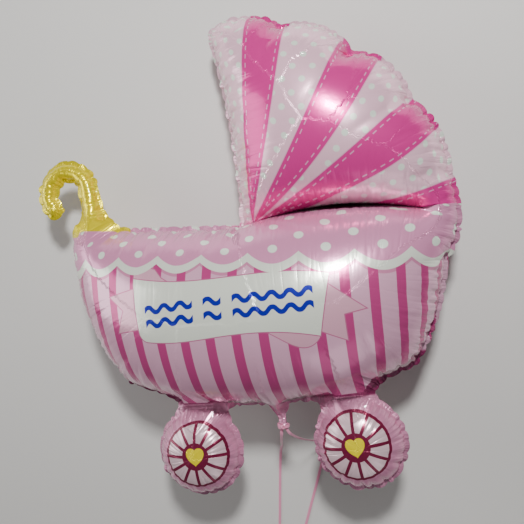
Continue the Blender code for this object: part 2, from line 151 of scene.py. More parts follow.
@dataclass(frozen=True)
class CarriageDrawing:
    """The weld lines of the flat foil, with the sizes of the CAD balloon."""

    hood_radius: float = 0.344
    hood_back_deg: float = -14.0
    hood_front_deg: float = 94.0
    hood_notch_depths: tuple[float, ...] = (0.017, 0.006, 0.016, 0.025, 0.020, 0.017)
    hood_front_hollow: float = 0.010
    mouth_corner: Pair = (0.002, -0.002)
    mouth_rounding: float = 0.007
    rim_left: Pair = (-0.312, 0.025)
    basket_left_low: Pair = (-0.232, -0.246)
    basket_right_low: Pair = (0.256, -0.243)
    basket_front_swell: float = 0.025
    basket_back_swell: float = 0.011
    basket_bottom_swell: float = 0.050
    cross_weld_end: Pair = (0.290, -0.004)
    cross_weld_rise: float = 0.016
    wheel_radius: float = 0.0705
    wheel_centres: tuple[Pair, Pair] = ((-0.116, -0.374), (0.158, -0.368))
    neck_half_width: float = 0.018
    tail_top: Pair = (0.030, -0.294)
    tail_waist: Pair = (0.0325, -0.321)
    tail_tip: Pair = (0.0335, -0.334)
    tail_top_half_width: float = 0.017
    tail_waist_half_width: float = 0.003
    tail_seam_width: float = 0.0022
    hook_centre: Pair = (-0.318, 0.096)
    hook_radius: float = 0.040
    hook_end_deg: float = 215.0
    handle_half_width: float = 0.0140
    stem_foot: Pair = (-0.266, 0.004)
    stem_foot_half_width: float = 0.022
    seam_width: float = 0.0065
    web_blend: float = 0.042
    tail_taper: float = 4.0
    margin: float = 3.0
    slope_step: float = 1e-4
    tracing_step: float = 0.006
    lobe_points: int = 24
    arc_points: int = 16
    bottom_points: int = 24

    def hood_arc(self) -> list[Array]:
        """Points along the hood's lobed top, from its back to the tip of its front.

        Returns:
            The points in order.
        """
        points = []
        lobes = len(self.hood_notch_depths) - 1
        for place in np.linspace(0, lobes, self.lobe_points * lobes + 1):
            lobe = math.sqrt(abs(math.sin(math.pi * place)))
            depth = np.interp(place, range(lobes + 1), self.hood_notch_depths)
            turn = place / lobes * (self.hood_front_deg - self.hood_back_deg)
            angle = math.radians(self.hood_back_deg + turn)
            radius = self.hood_radius - depth * (1 - lobe)
            points.append(np.array([radius * math.cos(angle), radius * math.sin(angle)]))
        return points

    def notch_degrees(self) -> list[float]:
        """Directions of the notches between the hood's lobes."""
        ends = np.linspace(self.hood_back_deg, self.hood_front_deg, len(self.hood_notch_depths))
        return [float(degrees) for degrees in ends[1:-1]]

    def body_outline(self) -> Array:
        """The weld line of basket and hood.

        Returns:
            Its points, as a closed polygon.
        """
        hood = self.hood_arc()
        corner_up = np.array(self.mouth_corner) + (0, self.mouth_rounding)
        corner_left = np.array(self.mouth_corner) - (self.mouth_rounding, 0)
        left, right, count = self.basket_left_low, self.basket_right_low, self.arc_points
        points = arc_between(right, hood[0], self.basket_back_swell, count)
        points += hood
        points += arc_between(hood[-1], corner_up, -self.hood_front_hollow, count)[1:]
        points += [corner_up, corner_left]
        points += arc_between(self.rim_left, left, self.basket_front_swell, count)
        points += arc_between(left, right, self.basket_bottom_swell, self.bottom_points)
        return np.array(points)

    def handle_distance(self, points: Array) -> Array:
        """Distance of points from the hooked handle.

        Args:
            points: Points to measure.

        Returns:
            The distance of each point, negative inside the handle.
        """
        centre = np.array(self.hook_centre)
        offset = points - centre
        turn = np.degrees(np.arctan2(offset[:, 1], offset[:, 0])) % 360
        end_angle = math.radians(self.hook_end_deg)
        hook_end = centre + self.hook_radius * np.array([math.cos(end_angle), math.sin(end_angle)])
        on_hook = np.abs(np.linalg.norm(offset, axis=1) - self.hook_radius)
        off_hook = np.linalg.norm(points - hook_end, axis=1)
        hook = np.where(turn <= self.hook_end_deg, on_hook, off_hook) - self.handle_half_width
        stem_top = centre + (self.hook_radius, 0)
        halves = (self.handle_half_width, self.stem_foot_half_width)
        return np.minimum(hook, bar_distance(points, stem_top, self.stem_foot, *halves))

    def webbed(self, first: Array, second: Array) -> Array:
        """Two distances joined into one, with a web of foil where their shapes meet."""
        overlap = np.maximum(self.web_blend - np.abs(first - second), 0) / self.web_blend
        return np.minimum(first, second) - overlap**2 * self.web_blend / 4

    def seam_distance(self, points: Array) -> Array:
        """Distance of points from the weld line of the whole balloon.

        Args:
            points: Points to measure.

        Returns:
            The distance of each point, negative inside the balloon.
        """
        distance = polygon_distance(points, self.body_outline())
        for centre in self.wheel_centres:
            wheel = np.linalg.norm(points - np.array(centre), axis=1) - self.wheel_radius
            neck_top = (centre[0], centre[1] + self.wheel_radius + self.seam_width + self.neck_half_width)
            neck = bar_distance(points, centre, neck_top, self.neck_half_width, self.neck_half_width)
            distance = self.webbed(distance, np.minimum(wheel, neck))
        waist = self.tail_waist_half_width
        for start, end, half in (
            (self.tail_top, self.tail_waist, self.tail_top_half_width),
            (self.tail_waist, self.tail_tip, waist),
        ):
            distance = np.minimum(distance, bar_distance(points, start, end, half, waist))
        return self.webbed(distance, self.handle_distance(points))

    def edge_distance(self, points: Array) -> Array:
        """Distance of points from the cut edge of the foil.

        Args:
            points: Points to measure.

        Returns:
            The distance of each point, negative on the foil.
        """
        from_tail = bar_distance(points, self.tail_top, self.tail_tip, 0, 0)
        share = np.clip(from_tail / (self.tail_taper * self.seam_width), 0, 1)
        width = self.tail_seam_width + share * (self.seam_width - self.tail_seam_width)
        return self.seam_distance(points) - width

    def outward(self, distance: Distance, points: Array) -> Array:
        """Direction in which a distance grows fastest.

        Args:
            distance: Gives the distance of each of some points from a line.
            points: Where the direction is wanted.

        Returns:
            One unit direction for each point.
        """
        step = self.slope_step
        across = distance(points + (step, 0)) - distance(points - (step, 0))
        up = distance(points + (0, step)) - distance(points - (0, step))
        grown = np.stack([across, up], axis=1)
        return grown / np.maximum(np.linalg.norm(grown, axis=1), 1e-12)[:, None]

    def limits(self) -> tuple[Array, Array]:
        """Limits of the drawing, with room for the foil's edge.

        Returns:
            The lowest and the highest corner.
        """
        corners = np.concatenate([
            self.body_outline(),
            np.array(self.wheel_centres) - self.wheel_radius,
            np.array([self.hook_centre]) - (self.hook_radius + self.handle_half_width, 0),
        ])
        room = self.margin * self.seam_width
        return corners.min(axis=0) - room, corners.max(axis=0) + room

    def trace(self, distance: Distance) -> Array:
        """The longest closed line along which a distance is zero.

        Args:
            distance: Gives the distance of each of some points from the line.

        Returns:
            Points of the line, counterclockwise.
        """
        low, high = self.limits()
        xs = np.arange(low[0], high[0], self.tracing_step)
        ys = np.arange(low[1], high[1], self.tracing_step)
        grid = np.stack(np.meshgrid(xs, ys, indexing="ij"), axis=-1)
        values = distance(grid.reshape(-1, 2)).reshape(grid.shape[:2])
        links: dict[tuple, list[tuple]] = {}
        below = values < 0
        corners = below[:-1, :-1].astype(int) + below[1:, :-1] + below[:-1, 1:] + below[1:, 1:]
        for i, j in np.argwhere((corners > 0) & (corners < 4)):
            sides = []
            if below[i, j] != below[i + 1, j]:
                sides.append(("x", i, j))
            if below[i + 1, j] != below[i + 1, j + 1]:
                sides.append(("y", i + 1, j))
            if below[i, j + 1] != below[i + 1, j + 1]:
                sides.append(("x", i, j + 1))
            if below[i, j] != below[i, j + 1]:
                sides.append(("y", i, j))
            for first, second in zip(sides[::2], sides[1::2]):
                links.setdefault(first, []).append(second)
                links.setdefault(second, []).append(first)
        loops = []
        while links:
            side = next(iter(links))
            loop = []
            while side is not None:
                loop.append(side)
                neighbours = links.pop(side)
                side = next((other for other in neighbours if other in links), None)
            loops.append(loop)
        points = []
        for kind, i, j in max(loops, key=len):
            ahead = (1, 0) if kind == "x" else (0, 1)
            here, there = values[i, j], values[i + ahead[0], j + ahead[1]]
            points.append(grid[i, j] + here / (here - there) * self.tracing_step * np.array(ahead))
        line = np.array(points)
        after = np.roll(line, -1, axis=0)
        doubled_area = (line[:, 0] * after[:, 1] - after[:, 0] * line[:, 1]).sum()
        return line if doubled_area > 0 else line[::-1]

    def ring(self, distance: Distance, spacing: float) -> Array:
        """Evenly spaced points on the line where a distance is zero.

        Args:
            distance: Gives the distance of each of some points from the line.
            spacing: Distance between neighbours.

        Returns:
            The points, counterclockwise.
        """
        loop = self.trace(distance)
        closed = np.concatenate([loop, loop[:1]])
        runs = np.concatenate([[0], np.cumsum(np.linalg.norm(np.diff(closed, axis=0), axis=1))])
        places = np.arange(round(runs[-1] / spacing)) * runs[-1] / round(runs[-1] / spacing)
        points = np.stack([np.interp(places, runs, closed[:, k]) for k in range(2)], axis=1)
        for _ in range(2):
            points -= self.outward(distance, points) * distance(points)[:, None]
        return points

    def cross_weld(self, start: Array, spacing: float) -> Array:
        """The weld between hood and basket.

        Args:
            start: Point of the seam that the weld starts from.
            spacing: Distance between neighbours.

        Returns:
            Its points in order, the first one on the seam.
        """
        count = round(np.linalg.norm(np.array(self.cross_weld_end) - start) / spacing)
        points = arc_between(start, self.cross_weld_end, -self.cross_weld_rise, count)
        return np.array(points + [np.array(self.cross_weld_end)])


@dataclass
class FlatFoil:
    """Flat mesh of one foil, with fine rows of points along its welds."""

    drawing: CarriageDrawing
    seam_spacing: float = 0.0022
    rows: tuple[float, ...] = (0.0009, 0.0020, 0.0036, 0.0058, 0.0086, 0.0120, 0.0160, 0.0206, 0.0258)
    dense_rows: int = 6
    row_room: float = 0.0008
    lattice_spacing: float = 0.0044
    lattice_room: float = 0.6
    coarse_every: int = 4
    edge_stretch: float = 1.1
    weld_stretch: float = 1.3
    row_tolerance: float = 0.12
    weld_room: float = 0.8
    seam_room: float = 1.15
    sliver: float = 0.1
    merge_distance: float = 1e-8
    points: Array = field(init=False)
    triangles: Array = field(init=False)
    on_edge: Array = field(init=False)
    on_weld: Array = field(init=False)
    seam: Array = field(init=False)
    weld: Array = field(init=False)

    def weld_gap(self, points: Array) -> Array:
        """Distance of points from the weld across the body, measured in coarse steps.

        Args:
            points: Points to measure.

        Returns:
            The distance of each point.
        """
        nearest = np.full(len(points), np.inf)
        every = self.coarse_every
        for start, end in zip(self.weld[:-1:every], self.weld[every::every]):
            nearest = np.minimum(nearest, bar_distance(points, start, end, 0, 0))
        return nearest

    def row_points(self) -> Array:
        """Rows of points inside the seam and on both sides of the weld across the body.

        Returns:
            The points, those of the nearest rows first.
        """
        draw = self.drawing
        inward = -draw.outward(draw.seam_distance, self.seam)
        kept = []
        for k, depth in enumerate(self.rows):
            every = 1 if k < self.dense_rows else 2
            row = self.seam[::every] + inward[::every] * depth
            real = -draw.seam_distance(row)
            straight = np.abs(real - depth) < self.row_tolerance * depth
            kept.append(row[straight & (self.weld_gap(row) > self.weld_room * depth)])
            step = np.roll(self.weld, -1, axis=0)[:-1] - self.weld[:-1]
            side = np.stack([-step[:, 1], step[:, 0]], axis=1) / np.linalg.norm(step, axis=1)[:, None]
            middle = (self.weld[:-1] + self.weld[1:]) / 2
            for way in (1, -1):
                row = middle + way * side * depth
                kept.append(row[-draw.seam_distance(row) > self.seam_room * depth])
        return np.concatenate(kept)

    def thinned(self, points: Array, fixed: Array) -> Array:
        """The points, without those that crowd an earlier or a fixed one.

        Args:
            points: Points in the order in which they are wanted.
            fixed: Points that stay in any case.

        Returns:
            The points that have room, without the fixed ones.
        """
        room = self.row_room
        taken: dict[tuple[int, int], list[Pair]] = {}
        for x, y in fixed.tolist():
            taken.setdefault((int(x // room), int(y // room)), []).append((x, y))
        kept = []
        for x, y in points.tolist():
            i, j = int(x // room), int(y // room)
            near = [q for a in (i - 1, i, i + 1) for b in (j - 1, j, j + 1) for q in taken.get((a, b), ())]
            if all((x - q[0]) ** 2 + (y - q[1]) ** 2 > room**2 for q in near):
                taken.setdefault((i, j), []).append((x, y))
                kept.append((x, y))
        return np.array(kept)

    def along_seam(self) -> tuple[Array, Array, float]:
        """Where the foil's points lie beside the weld along the edge.

        Returns:
            The distance of each point from the weld, its place along it, and the weld's length.
        """
        length = float(np.linalg.norm(np.roll(self.seam, -1, axis=0) - self.seam, axis=1).sum())
        away, run = nearest_on(self.seam, self.points, length / len(self.seam))
        return away, run, length

    def along_cross_weld(self) -> tuple[Array, Array, float]:
        """Where the foil's points lie beside the weld across the body.

        Returns:
            The distance of each point from the weld, its place along it, and the weld's length.
        """
        length = float(np.linalg.norm(np.diff(self.weld, axis=0), axis=1).sum())
        gap, place = nearest_on(self.weld, self.points, length / (len(self.weld) - 1))
        return gap, place, length

    def lattice(self) -> Array:
        """A triangular lattice for the middle of the foil.

        Returns:
            Its points inside the last row.
        """
        low, high = self.drawing.limits()
        spacing = self.lattice_spacing
        rows = np.arange(low[1], high[1], spacing * math.sqrt(0.75))
        columns = np.arange(low[0], high[0], spacing)
        points = np.array([(x + (k % 2) * spacing / 2, y) for k, y in enumerate(rows) for x in columns])
        rough = self.drawing.seam_distance(points)
        points = points[rough < -self.rows[-1] - self.lattice_room * spacing]
        return points[self.weld_gap(points) > self.rows[-1] + self.lattice_room * spacing]

    def build(self) -> None:
        """Lays out the points and joins them into triangles."""
        draw = self.drawing
        edge = draw.ring(draw.edge_distance, self.seam_spacing * self.edge_stretch)
        self.seam = draw.ring(draw.seam_distance, self.seam_spacing)
        start = int(np.argmin(np.linalg.norm(self.seam - np.array(draw.mouth_corner), axis=1)))
        self.weld = draw.cross_weld(self.seam[start], self.seam_spacing * self.weld_stretch)
        fixed = [edge, self.seam, self.weld[1:]]
        fixed_points = np.concatenate(fixed)
        inside = self.thinned(np.concatenate([self.row_points(), self.lattice()]), fixed_points)
        first = np.cumsum([0] + [len(group) for group in fixed])
        lines = []
        for k in range(2):
            count = len(fixed[k])
            lines += [(int(first[k] + i), int(first[k] + (i + 1) % count)) for i in range(count)]
        chain = [int(first[1] + start)] + list(range(int(first[2]), int(first[3])))
        lines += list(zip(chain, chain[1:]))
        every = np.concatenate([fixed_points, inside])
        flat, _, faces, sources, _, _ = delaunay_2d_cdt(
            [Vector(point) for point in every], lines, [list(range(len(edge)))], 1, self.merge_distance, True
        )
        self.points = np.array([tuple(point) for point in flat])
        self.on_edge = np.array([any(s < first[1] for s in source) for source in sources])
        self.on_weld = np.array([any(first[1] <= s < first[3] for s in source) for source in sources])
        triangles = np.array(faces)
        centres = self.points[triangles].mean(axis=1)
        self.triangles = triangles[draw.edge_distance(centres) < -self.sliver * draw.tail_seam_width]


@dataclass
class GasFilling:
    """Depth of the gas between the foils: a soap film over the same welds, made round."""

    foil: FlatFoil
    roundness: float = 0.90
    closeness: float = 1e-7

    def film(self) -> Array:
        """Height of the soap film at each point, found by conjugate gradients.

        Returns:
            The height, 0 on the welds and outside them.
        """
        corners = self.foil.triangles
        count = len(self.foil.points)
        place = self.foil.points[corners]
        edges = place[:, [2, 0, 1]] - place[:, [1, 2, 0]]
        area = (edges[:, 0, 0] * edges[:, 1, 1] - edges[:, 0, 1] * edges[:, 1, 0]) / 2
        pulls = np.einsum("tik,tjk->tij", edges, edges) / (4 * area)[:, None, None]
        rows = np.repeat(corners, 3, axis=1).ravel()
        columns = np.tile(corners, (1, 3)).ravel()
        weights = pulls.ravel()
        free = ~(self.foil.on_edge | self.foil.on_weld)
        load = np.bincount(corners.ravel(), np.repeat(area / 3, 3), count) * free
        own = np.bincount(rows, weights * (rows == columns), count)
        film = np.zeros(count)
        rest = load.copy()
        eased = rest / own
        way = eased.copy()
        size = rest @ eased
        goal = size * self.closeness**2
        while size > goal:
            pulled = np.bincount(rows, weights * way[columns], count) * free
            step = size / (way @ pulled)
            film += step * way
            rest -= step * pulled
            eased = rest / own
            before, size = size, rest @ eased
            way = eased + size / before * way
        return film

    def half_depth(self, film: Array) -> Array:
        """Half the depth of the gas, from the height of the film."""
        return self.roundness * np.sqrt(2 * np.maximum(film, 0))


@dataclass(frozen=True)
class CreaseRow:
    """One row of creases across a weld, each with its own depth, length and lean."""

    spacing: float
    depth: float
    reach: float
    seed: int
    lean: float = 0.3
    rise: float = 0.003
    sharpness: float = 0.6
    jitter: float = 0.36
    strengths: Pair = (0.25, 1.30)
    petal_sizes: Pair = (0.35, 1.00)
    petal_roundness: float = 0.8
    reach_shares: Pair = (0.4, 1.6)
    fade_power: float = 1.5

    def layout(self, length: float) -> tuple[Array, Array]:
        """Places the creases along a weld.

        Args:
            length: Length of the whole weld.

        Returns:
            The place of each crease, and three random numbers from 0 to 1 for each.
        """
        source = np.random.default_rng(self.seed)
        count = max(2, round(length / self.spacing))
        shifts = source.uniform(-self.jitter, self.jitter, count)
        return (np.arange(count) + 0.5 + shifts) * length / count, source.uniform(0, 1, (3, count))

    def between(self, run: Array, length: float) -> tuple[Array, Array, Array]:
        """The creases on both sides of each point.

        Args:
            run: Place of each point along the weld.
            length: Length of the whole weld.

        Returns:
            The crease before the point, the one after it, and the share of the way from one to the other.
        """
        places = self.layout(length)[0]
        after = np.searchsorted(places, run % length) % len(places)
        before = after - 1
        gap = (places[after] - places[before]) % length
        return before, after, ((run - places[before]) % length) / gap

    def pulls(self, run: Array, length: float) -> Array:
        """How hard the foil is pulled in.

        Args:
            run: Place of each point along the weld.
            length: Length of the whole weld.

        Returns:
            The pull at each point: 0 between the creases, up to 1.3 in a strong one.
        """
        before, after, share = self.between(run, length)
        weak, strong = self.strengths
        strength = weak + (strong - weak) * self.layout(length)[1][0]
        return strength[np.where(share < 0.5, before, after)] * (1 - np.sin(np.pi * share) ** self.sharpness)

    def petals(self, run: Array, length: float) -> Array:
        """Swell of the foil between each two creases.

        Args:
            run: Place of each point along the weld.
            length: Length of the whole weld.

        Returns:
            The swell at each point, up or down, from -1 to 1.
        """
        before, _, share = self.between(run, length)
        chance = 2 * self.layout(length)[1][1] - 1
        small, large = self.petal_sizes
        size = np.sign(chance) * (small + (large - small) * np.abs(chance))
        return size[before] * np.sin(np.pi * share) ** self.petal_roundness

    def sink(self, run: Array, away: Array, reach_limit: Array, length: float) -> Array:
        """How far the foil sinks in this row's creases.

        Args:
            run: Place of each point along the weld.
            away: Distance of each point from the weld.
            reach_limit: The longest that a crease may be, at each point.
            length: Length of the whole weld.

        Returns:
            The depth of the crease at each point.
        """
        places, chances = self.layout(length)
        leans = self.lean * (2 * chances[1] - 1)
        moved = run + away * np.interp(run, places, leans, period=length)
        before, after, share = self.between(moved, length)
        short, long = self.reach_shares
        reach = self.reach * (short + (long - short) * chances[2])
        longest = np.minimum(reach[np.where(share < 0.5, before, after)], reach_limit)
        fade = (1 - np.exp(-away / self.rise)) * np.exp(-((away / longest) ** self.fade_power))
        return self.depth * self.pulls(moved, length) * fade


@dataclass
class Puckers:
    """The creases that gathering the foil round its welds leaves on one face."""

    foil: FlatFoil
    seed: int
    notch_depth: float = 0.010
    notch_width: float = 0.007
    notch_reach: float = 0.060
    notch_powers: Pair = (1.1, 1.6)
    soft_depth: float = 0.030
    most_share: float = 0.45
    reach_share: float = 0.45
    least_reach: float = 0.004

    def edge_rows(self) -> tuple[CreaseRow, ...]:
        """The rows of creases along the edge weld, from fine to wide."""
        return (
            CreaseRow(0.0085, 0.0019, 0.015, self.seed, sharpness=0.8),
            CreaseRow(0.0190, 0.0046, 0.026, self.seed + 1),
            CreaseRow(0.0560, 0.0044, 0.062, self.seed + 2, rise=0.008, sharpness=0.45),
        )

    def cross_row(self) -> CreaseRow:
        """The row of creases along the weld across the body."""
        return CreaseRow(0.015, 0.0020, 0.026, self.seed + 3)

    def notches(self) -> Array:
        """The notches where the hood's ribs meet its edge.

        Returns:
            How deep the foil is pulled in at each point.
        """
        points = self.foil.points
        radius = np.linalg.norm(points, axis=1)
        angle = np.degrees(np.arctan2(points[:, 1], points[:, 0]))
        inward = np.maximum(self.foil.drawing.hood_radius - radius, 0)
        depth = np.zeros(len(points))
        steep, slow = self.notch_powers
        for place in self.foil.drawing.notch_degrees():
            aside = np.abs(radius * np.radians(angle - place))
            line = np.exp(-((aside / self.notch_width) ** steep) - (inward / self.notch_reach) ** slow)
            depth = np.maximum(depth, self.notch_depth * line)
        return depth

    def sink(self, away: Array, run: Array, length: float, half: Array, film: Array) -> Array:
        """How far the foil sinks at each point, along its own normal.

        Args:
            away: Distance from the weld.
            run: Place along the weld.
            length: Length of the weld.
            half: Half the depth of the gas.
            film: Height of the film that the depth comes from.

        Returns:
            The sink of each point.
        """
        half_width = film / np.maximum(away, 1e-4) + away / 2
        limit = np.maximum(self.reach_share * half_width, self.least_reach)
        sunk = sum(row.sink(run, away, limit, length) for row in self.edge_rows())
        gap, place, weld_length = self.foil.along_cross_weld()
        sunk += self.cross_row().sink(place, gap, limit, weld_length)
        room = np.clip(half / self.soft_depth, 0, 1)
        return np.minimum((sunk + self.notches()) * room, self.most_share * half)


def nearest_on(line: Array, points: Array, spacing: float) -> tuple[Array, Array]:
    """Distance of each point from a line of evenly spaced points, and its place along it.

    Args:
        line: Points of the line, in order.
        points: Points to measure.
        spacing: Distance between the line's points.

    Returns:
        The distances and the places.
    """
    tree = KDTree(len(line))
    for k, place in enumerate(line):
        tree.insert((place[0], place[1], 0), k)
    tree.balance()
    nearest = np.array([tree.find((p[0], p[1], 0))[1] for p in points])
    ahead = np.roll(line, -1, axis=0) - np.roll(line, 1, axis=0)
    ahead /= np.linalg.norm(ahead, axis=1)[:, None]
    offset = points - line[nearest]
    along = (offset * ahead[nearest]).sum(axis=1)
    return np.linalg.norm(offset, axis=1), (nearest + np.clip(along / spacing, -0.5, 0.5)) * spacing


def point_normals(points: Array, triangles: Array) -> Array:
    """Normals of a triangle mesh.

    Args:
        points: The mesh's points.
        triangles: Its triangles, as numbers of their points.

    Returns:
        The unit normal at each point.
    """
    a, b, c = (points[triangles[:, k]] for k in range(3))
    flat = np.cross(b - a, c - a)
    total = np.stack([
        np.bincount(triangles.ravel(), np.repeat(flat[:, k], 3), len(points)) for k in range(3)
    ], axis=1)
    return total / np.maximum(np.linalg.norm(total, axis=1), 1e-15)[:, None]


@dataclass
class UnrolledPrint:
    """Coordinates that lie along the filled foil, so that a print keeps its shape over the curve."""

    foil: FlatFoil
    half: Array
    step: float = 0.002
    basket_middle: Pair = (-0.010, -0.044)
    basket_slope: float = -0.100
    hood_middle: Pair = (0.130, 0.120)
    fan_apex: Pair = (0.020, 0.004)
    fan_step: float = math.radians(1.0)
    straight_below: float = -0.236
    lean_cells: int = 12

    def height_grid(self, low: Array, shape: tuple[int, int]) -> Array:
        """Half the gas depth on a square grid.

        Args:
            low: Lowest corner of the grid.
            shape: Its number of points along X and Y.

        Returns:
            The depths, 0 outside the foil.
        """
        grid = np.zeros(shape)
        corners = self.foil.points[self.foil.triangles]
        heights = self.half[self.foil.triangles]
        first = np.floor((corners.min(axis=1) - low) / self.step).astype(int)
        span = int(np.ceil((corners.max(axis=1) - corners.min(axis=1)).max() / self.step)) + 1
        a, b, c = (corners[:, k] for k in range(3))
        area = (b[:, 0] - a[:, 0]) * (c[:, 1] - a[:, 1]) - (c[:, 0] - a[:, 0]) * (b[:, 1] - a[:, 1])
        for i in range(span + 1):
            for j in range(span + 1):
                cell = first + (i, j)
                p = low + cell * self.step - a
                wb = (p[:, 0] * (c[:, 1] - a[:, 1]) - (c[:, 0] - a[:, 0]) * p[:, 1]) / area
                wc = ((b[:, 0] - a[:, 0]) * p[:, 1] - p[:, 0] * (b[:, 1] - a[:, 1])) / area
                within = (wb >= 0) & (wc >= 0) & (wb + wc <= 1)
                value = (1 - wb - wc) * heights[:, 0] + wb * heights[:, 1] + wc * heights[:, 2]
                grid[cell[within, 0], cell[within, 1]] = value[within]
        return grid

    def read(self, table: Array, place: Array) -> Array:
        """Reads a table between its cells.

        Args:
            table: The values at the cells' corners.
            place: Where they are wanted, counted in cells.

        Returns:
            The value at each place.
        """
        place = np.clip(place, 0, np.array(table.shape) - 1.001)
        cell = np.floor(place).astype(int)
        part = place - cell
        near = [table[cell[:, 0] + i, cell[:, 1] + j] for i in (0, 1) for j in (0, 1)]
        lower = near[0] * (1 - part[:, 1]) + near[1] * part[:, 1]
        upper = near[2] * (1 - part[:, 1]) + near[3] * part[:, 1]
        return lower * (1 - part[:, 0]) + upper * part[:, 0]

    def sheet_coordinates(self, grid: Array, low: Array, middle: Pair, slope: float) -> Array:
        """Lengths along the foil from an upright line and from a level or sloping one.

        Args:
            grid: Half the gas depth on a square grid.
            low: Lowest corner of the grid.
            middle: X of the upright line, and Y of the other one where X is 0.
            slope: Rise of the other line per metre.

        Returns:
            The two lengths of each point of the foil.
        """
        shape = grid.shape
        xs = low[0] + np.arange(shape[0]) * self.step
        ys = low[1] + np.arange(shape[1]) * self.step
        along_x = np.zeros(shape)
        along_x[1:] = np.cumsum(np.hypot(self.step, np.diff(grid, axis=0)), axis=0)
        along_y = np.zeros(shape)
        along_y[:, 1:] = np.cumsum(np.hypot(self.step, np.diff(grid, axis=1)), axis=1)
        for k in range(shape[0]):
            along_y[k] -= np.interp(middle[1] + slope * xs[k], ys, along_y[k])
        for k in range(shape[1]):
            along_x[:, k] -= np.interp(middle[0], xs, along_x[:, k])
        last = round((self.straight_below - low[1]) / self.step)
        lean = (along_x[:, last + self.lean_cells] - along_x[:, last]) / self.lean_cells
        for k in range(last):
            along_x[:, k] = along_x[:, last] + (k - last) * lean
        place = (self.foil.points - low) / self.step
        return np.column_stack([self.read(along_x, place), self.read(along_y, place)])

    def fan_coordinates(self, grid: Array, low: Array) -> Array:
        """Places about the fan's apex.

        Args:
            grid: Half the gas depth on a square grid.
            low: Lowest corner of the grid.

        Returns:
            The angle, the length along the foil from the apex and the flat distance, for each point.
        """
        apex = np.array(self.fan_apex)
        offset = self.foil.points - apex
        radius = np.linalg.norm(offset, axis=1)
        angle = np.arctan2(offset[:, 1], offset[:, 0])
        angles = np.arange(-math.pi, math.pi + 2 * self.fan_step, self.fan_step)
        radii = np.arange(0, radius.max() + 2 * self.step, self.step)
        ways = np.stack([np.cos(angles), np.sin(angles)], axis=1)
        spots = apex + ways[:, None] * radii[None, :, None]
        heights = self.read(grid, ((spots - low) / self.step).reshape(-1, 2)).reshape(spots.shape[:2])
        lengths = np.zeros(heights.shape)
        lengths[:, 1:] = np.cumsum(np.hypot(self.step, np.diff(heights, axis=1)), axis=1)
        place = np.column_stack([(angle + math.pi) / self.fan_step, radius / self.step])
        return np.column_stack([angle, self.read(lengths, place), radius])

    def coordinates(self) -> dict[str, Array]:
        """Print coordinates of the flat foil's points.

        Returns:
            The coordinates, by the name of the attribute that carries them.
        """
        low, high = self.foil.drawing.limits()
        grid = self.height_grid(low, tuple(np.ceil((high - low) / self.step).astype(int) + 2))
        points, weld = self.foil.points, self.foil.weld
        above = points[:, 1] - np.interp(points[:, 0], weld[:, 0], weld[:, 1])
        basket = self.sheet_coordinates(grid, low, self.basket_middle, self.basket_slope)
        hood = self.sheet_coordinates(grid, low, self.hood_middle, 0.0)
        return {
            "basket": np.column_stack([basket, above]),
            "hood": np.column_stack([hood, above]),
            "fan": self.fan_coordinates(grid, low),
        }


